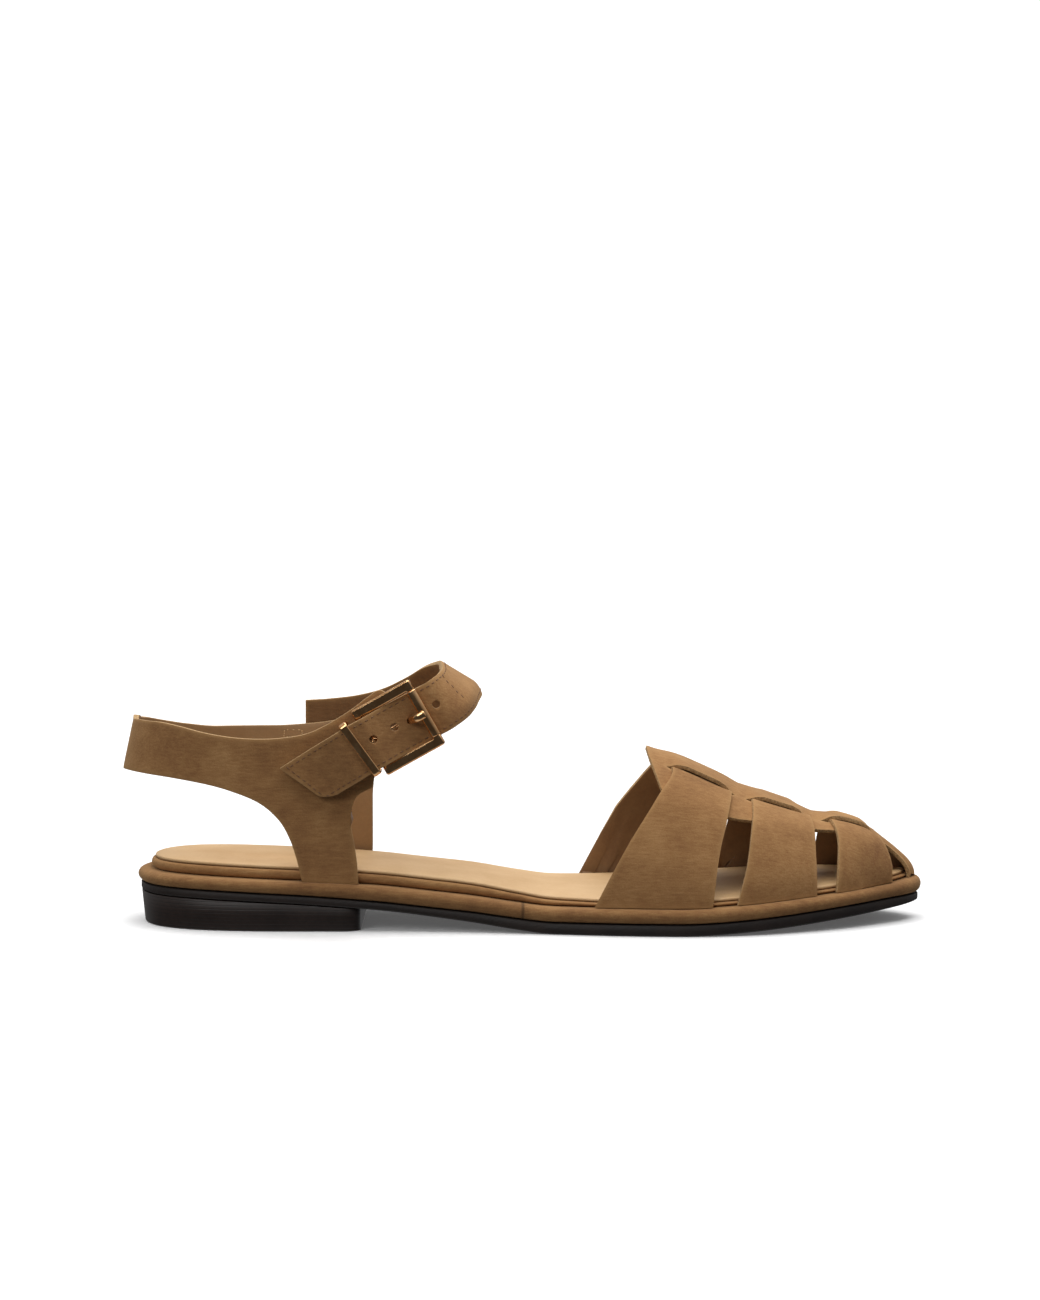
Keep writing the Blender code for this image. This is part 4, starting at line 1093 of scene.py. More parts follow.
def add_piece(
    name: str,
    mesh: bmesh.types.BMesh,
    finishes: Sequence[Finish],
    node: str,
    wall: Wall | None = None,
    angle: float = 40.0,
) -> bpy.types.Object:
    """Makes a named piece that rides on the sandal and stands for a node.

    Args:
        name: Name of the piece.
        mesh: Its mesh in the sole's own axes, which is used up.
        finishes: Its finishes in the order of the material slots.
        node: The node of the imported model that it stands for.
        wall: Its thickness, if the mesh is an open sheet.
        angle: Edges sharper than this many degrees are shaded sharp or rounded.

    Returns:
        The piece.
    """
    bmesh.ops.translate(mesh, verts=mesh.verts, vec=HEEL_POINT)
    piece = add_mesh(name, mesh, finishes)
    if wall is not None:
        solid = piece.modifiers.new("wall", "SOLIDIFY")
        solid.thickness = wall.thickness
        solid.offset = -1.0
        solid.use_even_offset = False
        solid.material_offset = 1
        solid.material_offset_rim = 2
        soft = piece.modifiers.new("edges", "BEVEL")
        soft.width = wall.rounding
        soft.segments = 2
        soft.limit_method = "ANGLE"
        soft.angle_limit = math.radians(angle)
        soft.material = 2
    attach(piece, "root")
    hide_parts(node)
    LOG.info("%s stands for %s, %d faces", piece.name, node, len(piece.data.polygons))
    return piece


def sew(
    name: str, places: Iterable[tuple[Vector, Vector, Vector]], node: str, finish: Finish,
    length: float = 1.6 * MM, radius: float = 0.2 * MM,
) -> bpy.types.Object:
    """Makes a row of stitches.

    Args:
        name: Name of the piece.
        places: Middle, direction along the row and direction outwards of each stitch.
        node: The node that carries the row.
        finish: Finish of the thread.
        length: Length of a stitch on the surface.
        radius: Radius of the thread.

    Returns:
        The piece.
    """
    mesh = bmesh.new()
    for middle, along, out in places:
        across = out.cross(along).normalized()
        turn = Matrix((along.normalized(), across, along.cross(across).normalized())).transposed()
        size = Matrix.Diagonal((length / 2, radius, radius * 0.8, 1.0))
        bmesh.ops.create_uvsphere(
            mesh, u_segments=6, v_segments=5, radius=1.0,
            matrix=Matrix.Translation(middle) @ turn.to_4x4() @ size,
        )
    bmesh.ops.recalc_face_normals(mesh, faces=mesh.faces)
    return add_piece(name, mesh, (finish,), node)


# Sole


@dataclass
class Sole:
    """Heel, outsole, rand, footbed and sock, one on the other.

    Attributes:
        last: The form that they follow.
        outsole_step: From the rand's outline in to the outsole's edge.
        outsole_bevel: Bevel round the outsole's tread face.
        sock_step: From the footbed's edge in to the sock's.
        sock: Thickness of the sock.
        sock_crown: How much the padded sock rises in its middle.
        sock_roll: Radius of its edge.
        quarter_wall: Thickness of the quarter, which the footbed clears.
        heel_step: From the rand's outline in to the heel.
        heel_taper: How much the heel narrows towards the floor.
        heel_breast: Front face of the heel, from the back of the sole.
        heel_corner: Rounding of the heel at its breast.
    """

    last: Last
    outsole_step: float = 1.0 * MM
    outsole_bevel: float = 0.6 * MM
    sock_step: float = 1.3 * MM
    sock: float = 1.0 * MM
    sock_crown: float = 0.7 * MM
    sock_roll: float = 0.6 * MM
    quarter_wall: float = 1.8 * MM
    heel_step: float = 1.2 * MM
    heel_taper: float = 1.0 * MM
    heel_breast: float = 75.5 * MM
    heel_corner: float = 6.0 * MM

    def plate(self, rings: Sequence[tuple[float, Height]], crown: float = 0.0) -> bmesh.types.BMesh:
        """A closed plate on the outline of the sole.

        Args:
            rings: Inset and height of each ring round it, from the bottom up.
            crown: How much its top rises in the middle.

        Returns:
            The mesh.
        """
        mesh = bmesh.new()
        turns, across, last = 110, 18, self.last

        def wall(u: float, v: float) -> Vector:
            turn, side = (2 * math.pi * u, -1) if u <= 0.5 else (2 * math.pi * (1.0 - u), 1)
            inset, height = rings[round(v * (len(rings) - 1))]
            point = last.edge(turn, side, inset)
            return Vector((point.x, point.y, height(point.x)))

        def cap(level: int, swell: float) -> Place:
            inset, height = rings[level]

            def place(u: float, v: float) -> Vector:
                turn = math.pi * u
                point = last.edge(turn, -1, inset).lerp(last.edge(turn, 1, inset), v)
                rise = swell * (math.sin(math.pi * v) * math.sin(turn)) ** 0.5
                return Vector((point.x, point.y, height(point.x) + rise))

            return place

        mapped_grid(mesh, 2 * turns, len(rings) - 1, wall)
        mapped_grid(mesh, turns, across, cap(0, 0.0))
        mapped_grid(mesh, turns, across, cap(-1, crown))
        close_up(mesh)
        return mesh

    def rounded(self, inset: float, low: Height, high: Height, steps: int) -> list:
        """Rings of a plate whose edge is half round."""
        rings = []
        middle = self.last.length / 2
        for k in range(steps + 1):
            lean = -math.pi / 2 + math.pi * k / steps
            share = (1.0 + math.sin(lean)) / 2.0
            depth = 0.5 * (high(middle) - low(middle)) * (1.0 - math.cos(lean))
            rings.append((
                inset + depth, lambda x, share=share: low(x) + (high(x) - low(x)) * share
            ))
        return rings

    def build_outsole(self) -> None:
        """Outsole with a bevel round its tread face."""
        last, low, high = self.last, self.last.floor_line, self.last.rand_bottom
        step, bevel, top_bevel = self.outsole_step, self.outsole_bevel, 0.5 * self.outsole_bevel
        rings = [
            (step + bevel, low),
            (step + bevel * 0.3, lambda x: low(x) + bevel * 0.3),
            (step, lambda x: low(x) + bevel),
            (step, lambda x: high(x) - last.fit - top_bevel),
            (step + top_bevel, lambda x: high(x) - last.fit),
        ]
        add_piece("outsole_plate", self.plate(rings), (RUBBER,), "outsole")

    def build_rand(self) -> None:
        """Suede-wrapped rand, half round at its edge."""
        rings = self.rounded(0.0, self.last.rand_bottom, self.last.rand_top, 18)
        add_piece("rand_wrap", self.plate(rings), (RAND_SUEDE,), "rand")

    def build_footbed(self) -> None:
        """Suede-wrapped footbed."""
        inset = self.last.strap_step + self.quarter_wall + self.last.fit
        rings = self.rounded(inset, self.last.feather, self.last.footbed_top, 12)
        add_piece("footbed_wrap", self.plate(rings), (SUEDE,), "footbed")

    def build_sock(self) -> None:
        """Lightly padded leather sock, turned under at its edge."""
        last = self.last
        inset = last.strap_step + self.quarter_wall + last.fit + self.sock_step
        roll, steps = self.sock_roll, 6

        def height(x: float, lean: float) -> float:
            return last.footbed_top(x) + last.fit + (self.sock - roll) + roll * math.sin(lean)

        rings = [(inset, lambda x: last.footbed_top(x) + last.fit)]
        for k in range(steps + 1):
            lean = math.pi / 2 * k / steps
            step = inset + roll * (1.0 - math.cos(lean))
            rings.append((step, lambda x, lean=lean: height(x, lean)))
        plate = self.plate(rings, self.sock_crown)
        add_piece("sock_leather", plate, (SOCK_LEATHER,), "insole_sock")

    def heel_edge(self, share: float, side: int, inset: float) -> Vector:
        """Plan point of the heel from its back (0) over its corner to the breast (1)."""
        last = self.last
        corner = turn_of((self.heel_breast - self.heel_corner) / last.length)
        if share <= 0.8:
            return last.edge(corner * share / 0.8, side, inset)
        start = last.edge(corner, side, inset)
        front = turn_of(self.heel_breast / last.length)
        turned = last.edge(front, side, inset)
        turned.x = self.heel_breast
        end = Vector((self.heel_breast, last.edge(front, side, inset + self.heel_corner * 0.8).y))
        t = (share - 0.8) / 0.2
        return start * (1 - t) ** 2 + turned * (2 * t * (1 - t)) + end * t**2

    def build_heel(self) -> None:
        """Stacked heel, tapered and bevelled at the floor."""
        mesh = bmesh.new()
        last, along, breadth = self.last, 60, 24
        foot = self.heel_step + self.heel_taper
        rings = (
            (foot + 0.5 * MM, 0.0, 0.0),
            (foot + 0.15 * MM, 0.15 * MM, 0.0),
            (foot, 0.5 * MM, 0.0),
            (self.heel_step + 0.5 * self.heel_taper, 0.0, 0.5),
            (self.heel_step, -0.2 * MM, 1.0),
            (self.heel_step + 0.2 * MM, 0.0, 1.0),
        )

        def height(x: float, ring: tuple) -> float:
            return (last.floor_line(x) - last.fit) * ring[2] + ring[1]

        def wall(u: float, v: float) -> Vector:
            ring = rings[round(v * (len(rings) - 1))]
            step = round(u * (2 * along + breadth))
            if step <= along:
                point = self.heel_edge(step / along, -1, ring[0])
            elif step >= along + breadth:
                point = self.heel_edge((2 * along + breadth - step) / along, 1, ring[0])
            else:
                ends = [self.heel_edge(1.0, side, ring[0]) for side in (-1, 1)]
                point = ends[0].lerp(ends[1], (step - along) / breadth)
            return Vector((point.x, point.y, height(point.x, ring)))

        def cap(ring: tuple) -> Place:
            def place(u: float, v: float) -> Vector:
                ends = [self.heel_edge(u, side, ring[0]) for side in (-1, 1)]
                point = ends[0].lerp(ends[1], v)
                return Vector((point.x, point.y, height(point.x, ring)))

            return place

        mapped_grid(mesh, 2 * along + breadth, len(rings) - 1, wall)
        mapped_grid(mesh, along, breadth, cap(rings[0]))
        mapped_grid(mesh, along, breadth, cap(rings[-1]))
        close_up(mesh)
        add_piece("heel_stack", mesh, (STACKED,), "heel")

    def build(self) -> None:
        """Builds the sole from the floor up."""
        self.build_heel()
        self.build_outsole()
        self.build_rand()
        self.build_footbed()
        self.build_sock()


# Vamp


@dataclass
class Vamp:
    """A slit spine with three cross straps woven through it.

    Attributes:
        last: The form that it follows.
        wall: Thickness of the hide.
        gap: Air between crossing straps.
        climb: Length over which a strap climbs onto the spine's margin.
        dive_start: How far outside the slit a strap starts to dive.
        dive_stop: How far inside it the strap is down.
        open: Half width of an open slit.
        slit_end: How far a slit runs on past its strap.
        bow: How much further the spine stands off over the middle of a slit.
        square: Station behind which the straps take no account of the spine's rounded corners.
        rear_curve: Share of the length by which the rear corners lie forward.
        toe_from: Station from which the spine's lines run on down to the sole.
        toe_trim: How much narrower the spine is at the toe on the outer side, as a share.
        toe_spread: How much wider it is there on the inner side.
    """

    last: Last
    wall: float = 1.25 * MM
    gap: float = 0.1 * MM
    climb: float = 10.0 * MM
    dive_start: float = 0.8 * MM
    dive_stop: float = 1.1 * MM
    open: float = 0.9 * MM
    slit_end: float = 2.0 * MM
    bow: float = 1.0 * MM
    square: float = 0.690
    rear_curve: float = 0.014
    toe_from: float = 0.94
    toe_trim: float = 0.022
    toe_spread: float = 0.040

    def __post_init__(self) -> None:
        """Makes smooth lines of the tables."""
        self.half = column(SPINE, 1)
        self.slit = column(SPINE, 2)
        self.edges = [(column(rows, 1), column(rows, 2)) for rows in STRAPS]
        self.raise_by = self.wall + self.gap

    def half_at(self, station: float, side: int) -> float:
        """Half width of the spine on one side, as a share of the ball's width."""
        change = -self.toe_trim if side < 0 else self.toe_spread
        return self.half.at(station) + change * ease((station - 0.915) / 0.03)

    def slit_reach(self, station: float) -> float:
        """How far inside a strap's width a station lies, at the slits; below 0 outside."""
        best = -1.0
        x = station * self.last.length
        for rear, front in self.edges:
            best = max(best, min(
                x - rear.at(0.0) * self.last.length, front.at(0.0) * self.last.length - x
            ))
        return best

    def build_strap(self, number: int) -> None:
        """One cross strap: over the spine's margins and under its middle."""
        rear, front = self.edges[number]
        last = self.last
        zones = (("root", 34), ("climb", 9), ("over", 5), ("dive", 8), ("under", 8))
        marks = [(zone, k / steps) for zone, steps in zones for k in range(steps)]
        marks.append(("under", 1.0))
        half_count = len(marks) - 1
        rows = 22
        lifts: list[float] = []

        def lift_of(zone: str, t: float) -> float:
            shares = {"root": 0.0, "climb": ease(t), "over": 1.0, "dive": 1.0 - ease(t)}
            return shares.get(zone, 0.0) * self.raise_by

        def place(u: float, v: float) -> Vector:
            i = round(u * 2 * half_count)
            side = -1 if i < half_count else 1
            zone, t = marks[i if side < 0 else 2 * half_count - i]
            around = side * 0.5
            for _ in range(7):
                low, high = rear.at(around), front.at(around)
                station = low + (high - low) * v
                turn = turn_of(station)
                half = self.half.at(max(station, self.square)) * last.ball
                slit = self.slit.at(max(station, self.square)) * last.ball
                outer = half + self.climb
                inner = half - 0.5 * MM
                start, stop = slit + self.dive_start, slit - self.dive_stop
                if zone == "root":
                    around = side + (last.around_at(turn, side * outer) - side) * t
                    continue
                ends = {
                    "climb": (outer, inner),
                    "over": (inner, start),
                    "dive": (start, stop),
                    "under": (stop, 0.0),
                }[zone]
                around = last.around_at(turn, side * (ends[0] + (ends[1] - ends[0]) * t))
            lifts.append(lift_of(zone, t))
            return last.vamp_point(turn, around)

        mesh = bmesh.new()
        verts = mapped_grid(mesh, 2 * half_count, rows, place)
        face_outwards(mesh, last.off_the_foot)
        moves = [vert.normal * (lift + self.wall) for vert, lift in zip(verts, lifts)]
        self.finish(f"vamp_strap_{number + 1}", mesh, verts, moves)

    def finish(self, name: str, mesh: bmesh.types.BMesh, verts: list, moves: list) -> None:
        """Lifts a sheet off the last, but never below the sole, and makes a piece of it.

        Args:
            name: Name of the piece.
            mesh: The sheet.
            verts: Its points.
            moves: How far each of them moves.
        """
        for vert, move in zip(verts, moves):
            vert.co += move
            vert.co.z = max(vert.co.z, self.last.feather(vert.co.x) - TUCK)
        mesh.normal_update()
        mark_edges(mesh, EDGE_REACH)
        add_piece(name, mesh, (SUEDE, VAMP_LINING_SHADED, EDGE), "vamp", Wall(self.wall))

    def spine_end(self, share: float) -> float:
        """Turn at which a lengthwise line of the spine reaches the sole at the toe."""
        last = self.last
        low, high = turn_of(0.95), math.pi
        side = -1 if share < 0 else 1
        for _ in range(30):
            turn = (low + high) / 2
            foot = last.edge(turn, side, last.strap_step + last.wall)
            reach = (foot.y - last.crown["drift"].at(turn) * last.ball) * side
            if reach > abs(share) * self.half_at(station_of(turn), side) * last.ball:
                low = turn
            else:
                high = turn
        return low

    def build_spine(self) -> None:
        """The piece that runs from the instep to the toe tip, with its slits cut open."""
        last = self.last
        rows, toe_rows, last_station = 150, 26, self.toe_from
        margin, middle = 7, 11
        lines = [("margin", 1.0 - k / margin) for k in range(margin + 1)]
        lines += [("middle", 1.0 - k / middle) for k in range(middle + 1)]
        half_count = len(lines) - 1
        total = rows + toe_rows
        spots: list[tuple[int, float, float]] = []
        ends: dict[float, float] = {}

        def place(u: float, v: float) -> Vector:
            j, i = round(u * 2 * half_count), round(v * total)
            side = -1 if j < half_count else 1
            zone, t = lines[j if side < 0 else 2 * half_count - j]
            if i <= rows:
                out = 0.6 + 0.4 * t if zone == "margin" else 0.55 * t
                first = SPINE[0][0] + self.rear_curve * out**3
                turn = turn_of(first + (last_station - first) * i / rows)
            else:
                q = math.sin((i - rows) / toe_rows * math.pi / 2)
                start = turn_of(last_station)
                half, slit = self.half_at(1.0, side), self.slit.at(1.0)
                share = (slit + (half - slit) * t if zone == "margin" else slit * t) / half
                if side * share not in ends:
                    ends[side * share] = self.spine_end(side * share)
                turn = start + (ends[side * share] - start) * q
            station = station_of(turn)
            half = self.half_at(station, side) * last.ball
            slit = self.slit.at(station) * last.ball
            reach = self.slit_reach(station) + self.slit_end
            gap = 0.08 * MM + self.open * ease(reach / (1.5 * self.slit_end))
            outer = min(slit + gap * 0.75, half - 0.6 * MM)
            offset = outer + (half - outer) * t if zone == "margin" else (slit - gap) * t
            rise = 0.0
            if zone == "middle":
                edge = ease((reach - 0.2 * MM) / (2.0 * self.slit_end)) * self.raise_by
                edge += ease((reach - self.slit_end) / (5 * MM)) * self.bow
                crown = (0.5 + 0.5 * ease((reach + 4 * MM) / (8 * MM))) * self.raise_by
                rise = edge * t * t + crown * (1.0 - t * t)
            spots.append((j, rise, reach))
            return last.vamp_point(turn, last.around_at(turn, side * offset))

        mesh = bmesh.new()
        verts = mapped_grid(mesh, 2 * half_count, total, place)
        face_outwards(mesh, last.off_the_foot)
        moves = [vert.normal * (rise + self.wall) for vert, (_, rise, _) in zip(verts, spots)]
        spot_of = dict(zip(verts, spots))
        cuts = []
        for face in mesh.faces:
            columns = sorted({spot_of[vert][0] for vert in face.verts})
            mirrored = [2 * half_count - c for c in columns[::-1]]
            if [margin, margin + 1] in (columns, mirrored):
                if min(spot_of[vert][2] for vert in face.verts) > 0.0:
                    cuts.append(face)
        bmesh.ops.delete(mesh, geom=cuts, context="FACES_ONLY")
        self.finish("vamp_spine", mesh, verts, moves)

    def build(self) -> None:
        """Builds the spine and its three straps."""
        self.build_spine()
        for number in range(len(STRAPS)):
            self.build_strap(number)


# Quarter


@dataclass
class Quarter:
    """Heel band on two posts, in one piece of suede with its lining.

    Attributes:
        last: The form that it follows.
        wall: Thickness of the suede and lining.
        first: Section of the band at the rear edge of a post.
        final: Section of the band at its front edge.
        steps: Squares between two sections.
    """

    last: Last
    wall: float = 1.8 * MM
    first: int = 8
    final: int = 12
    steps: int = 6

    def edge_lines(self, side: Side) -> tuple[Line, ...]:
        """Smooth edges of one side.

        Args:
            side: Which side of the foot.

        Returns:
            The lower rear edge that runs on down the post, the lower front edge that comes up
            it, and the upper edge.
        """
        band = BAND_NEAR if side is Side.OUTER else BAND_FAR
        post = POST_NEAR if side is Side.OUTER else POST_FAR
        last = self.last

        def down(row: tuple, number: int) -> tuple[float, float]:
            top = band[self.first if number == 1 else self.final][1]
            turn = turn_of(row[number])
            foot = last.feather(last.edge(turn, side.value, last.strap_step).x)
            return turn, foot + (last.ankle_height(top) - foot) * row[0]

        back = [(-turn_of(row[0]), last.ankle_height(row[1])) for row in band[2:0:-1]]
        lower = [(turn_of(row[0]), last.ankle_height(row[1])) for row in band]
        upper = [(turn_of(row[2]), last.ankle_height(row[3])) for row in band]
        rear = back + lower[: self.first + 1] + [down(row, 1) for row in post]
        front = [down(row, 2) for row in post[::-1]] + lower[self.final :]
        return Line(rear), Line(front), Line(back + upper)

    def build(self) -> None:
        """Builds the band and both posts as one sheet."""
        last, rows = self.last, 16
        lines = {side: self.edge_lines(side) for side in Side}
        sections = len(BAND_NEAR) - 1
        post_rows = len(POST_NEAR)

        def lower(side: Side, p: float) -> tuple[float, float]:
            rear, front, _ = lines[side]
            if p <= self.first:
                return rear.at(p + 2)
            if p >= self.final:
                return front.at(p - self.final + post_rows)
            t = (p - self.first) / (self.final - self.first)
            a, b = lower(side, self.first), lower(side, self.final)
            return a[0] + (b[0] - a[0]) * t, a[1] + (b[1] - a[1]) * t

        def surface(side: Side, turn: float, height: float) -> Vector:
            return last.heel_point(abs(turn), side.value, height, last.strap_step)

        def band(u: float, v: float) -> Vector:
            p = (2.0 * u - 1.0) * sections
            side = Side.OUTER if p < 0 else Side.INNER
            p = abs(p)
            low = lower(side, p)
            _, _, upper = lines[side]
            high = upper.at(p + 2)
            return surface(side, low[0] + (high[0] - low[0]) * v, low[1] + (high[1] - low[1]) * v)

        def post(side: Side) -> Place:
            rear, front, _ = lines[side]

            def place(u: float, v: float) -> Vector:
                q = (1.0 - v) * post_rows
                a, b = rear.at(2 + self.first + q), front.at(post_rows - q)
                turn, height = a[0] + (b[0] - a[0]) * u, a[1] + (b[1] - a[1]) * u
                foot = last.feather(last.edge(turn, side.value, last.strap_step).x) - TUCK
                return surface(side, turn, max(height, foot) if v else foot)

            return place

        mesh = bmesh.new()
        mapped_grid(mesh, 2 * sections * self.steps, rows, band)
        for side in Side:
            mapped_grid(mesh, (self.final - self.first) * self.steps, 20, post(side))
        bmesh.ops.remove_doubles(mesh, verts=mesh.verts, dist=5e-6)
        bmesh.ops.recalc_face_normals(mesh, faces=mesh.faces)
        face_outwards(mesh, lambda p: Vector((p.x - 0.2 * last.length, p.y, 0.0)))
        mark_edges(mesh, EDGE_REACH)
        add_piece("quarter_suede", mesh, (SUEDE, BAND_LINING_SHADED, EDGE), "quarter", Wall(self.wall))
        self.build_tack()

    def build_tack(self) -> None:
        """Pale stitches on the lining that hold the end of the ankle strap."""
        low, high, rear, front = 0.603, 0.640, 0.186, 0.208
        corners = [(rear, low), (rear, high), (front, high), (front, low), (rear, low)]
        places = []
        for (s1, h1), (s2, h2) in zip(corners, corners[1:]):
            for k in range(3):
                t = (k + 0.5) / 3
                ends = [
                    self.lining_point(s1 + (s2 - s1) * share, h1 + (h2 - h1) * share)
                    for share in (t - 0.1, t, t + 0.1)
                ]
                along = (ends[2] - ends[0]).normalized()
                places.append((ends[1], along, Vector((0.0, -1.0, 0.0))))
        sew("quarter_tack", places, "quarter", PALE_THREAD, 0.7 * MM, 0.18 * MM)

    def lining_point(self, station: float, share: float) -> Vector:
        """Point of the lining on the inner side of the foot."""
        inset = self.last.strap_step + self.wall
        height = self.last.ankle_height(share)
        return self.last.heel_point(turn_of(station), Side.INNER.value, height, inset)


# Buckle and ankle strap


@dataclass
class BucklePlane:
    """Axes of the buckle: a along the ankle strap, b across it, n away from the foot.

    Attributes:
        last: The form that it lies on.
        station: Place of its middle along the sole.
        height: Height of its middle, as a share of the ankle's.
        slope: Rise of the strap towards the front.
        shift: Middle of the strap along b, at the keeper.
        tail_skew: Its drift behind the keeper, per length along the strap.
        front_skew: Its drift in front of the keeper.
        long: Length of the frame along a.
        wide: Width of the frame along b.
        middle: Middle of the frame along a.
        sideways: Middle of the frame along b.
        rail: Width of the rails.
        bar: Diameter of the hinge bar.
        roller: Diameter of the roller.
        roller_level: Level of the roller's centre.
        keeper_gap: From the hinge back to the keeper.
        keeper_bar: Thickness of the keeper.
        chape_wall: Thickness of the folded tab.
        chape_long: Length of the folded tab.
        prong_deep: Thickness of the prong.
        strap: Thickness of the ankle strap.
        tail: Length of the strap's free end behind the tab.
        past_roller: Straight run of the strap in front of the roller.
    """

    last: Last
    station: float = 0.3375
    height: float = 0.744
    slope: float = math.radians(30.0)
    shift: float = 0.3 * MM
    tail_skew: float = 0.049
    front_skew: float = -0.026
    long: float = 21.9 * MM
    wide: float = 24.2 * MM
    middle: float = -0.4 * MM
    sideways: float = 0.2 * MM
    rail: float = 2.7 * MM
    bar: float = 1.6 * MM
    roller: float = 3.4 * MM
    roller_level: float = 6.2 * MM
    keeper_gap: float = 4.6 * MM
    keeper_bar: float = 0.8 * MM
    chape_wall: float = 0.8 * MM
    chape_long: float = 8.6 * MM
    prong_deep: float = 1.3 * MM
    strap: float = 1.8 * MM
    tail: float = 21.4 * MM
    past_roller: float = 2.3 * MM

    def __post_init__(self) -> None:
        """Works out the hinge, the roller and the layers of the strap."""
        fit = self.last.fit
        self.hinge = self.middle - (self.long - self.rail) / 2
        self.outer = self.middle + (self.long - self.rail) / 2
        self.span = self.outer - self.hinge
        self.prong_hole = self.hinge + 0.771 * self.span
        self.keeper_place = self.hinge - self.keeper_gap
        self.tail_start = self.hinge - self.chape_long
        self.hinge_level = 3 * fit + self.keeper_bar + self.chape_wall + self.bar / 2
        over_chape = self.hinge_level + self.bar / 2 + 2 * fit + self.chape_wall
        over_prong = self.hinge_level + self.bar / 2 + 2 * fit + self.prong_deep
        under_roller = self.roller_level - self.roller / 2 - fit - self.strap
        self.prong_top = self.roller_level + self.roller / 2 + fit + self.prong_deep / 2
        layers = (
            (self.tail_start - self.tail, 0.13 * over_chape),
            (self.tail_start - 0.58 * self.tail, 0.25 * over_chape),
            (self.tail_start - 0.30 * self.tail, 0.58 * over_chape),
            (self.tail_start, over_chape),
            (self.keeper_place, over_chape),
            (self.hinge, over_prong),
            (self.hinge + self.bar / 2 + fit + self.chape_wall, over_chape),
            (self.hinge + 0.31 * self.span, 0.48 * under_roller + 0.52 * over_chape),
            (self.hinge + 0.52 * self.span, 0.77 * under_roller + 0.23 * over_chape),
            (self.prong_hole, under_roller),
            (self.outer, 0.96 * under_roller),
            (self.outer + 2 * self.past_roller, under_roller),
        )
        self.levels = column(layers, 1)
        self.depth = self.last.edge(turn_of(0.30), -1, self.last.strap_step).y

    def point(self, a: float, b: float, n: float) -> Vector:
        """A point in the buckle's axes, in the sole's own."""
        cos, sin = math.cos(self.slope), math.sin(self.slope)
        return Vector((
            self.station * self.last.length + a * cos - b * sin,
            self.depth - n,
            self.last.ankle_height(self.height) + a * sin + b * cos,
        ))

    def axis(self, a: float, b: float, n: float) -> Vector:
        """A direction in the buckle's axes, in the sole's own."""
        return (self.point(a, b, n) - self.point(0.0, 0.0, 0.0)).normalized()

    def frame_level(self, a: float) -> float:
        """Level of the frame's middle plane."""
        slope = (self.roller_level - self.hinge_level) / self.span
        return self.hinge_level + slope * (a - self.hinge)

    def strap_middle(self, a: float) -> float:
        """Place across the buckle of the strap's middle line."""
        ahead = a - self.keeper_place
        return self.shift + ahead * (self.tail_skew if ahead < 0 else self.front_skew)


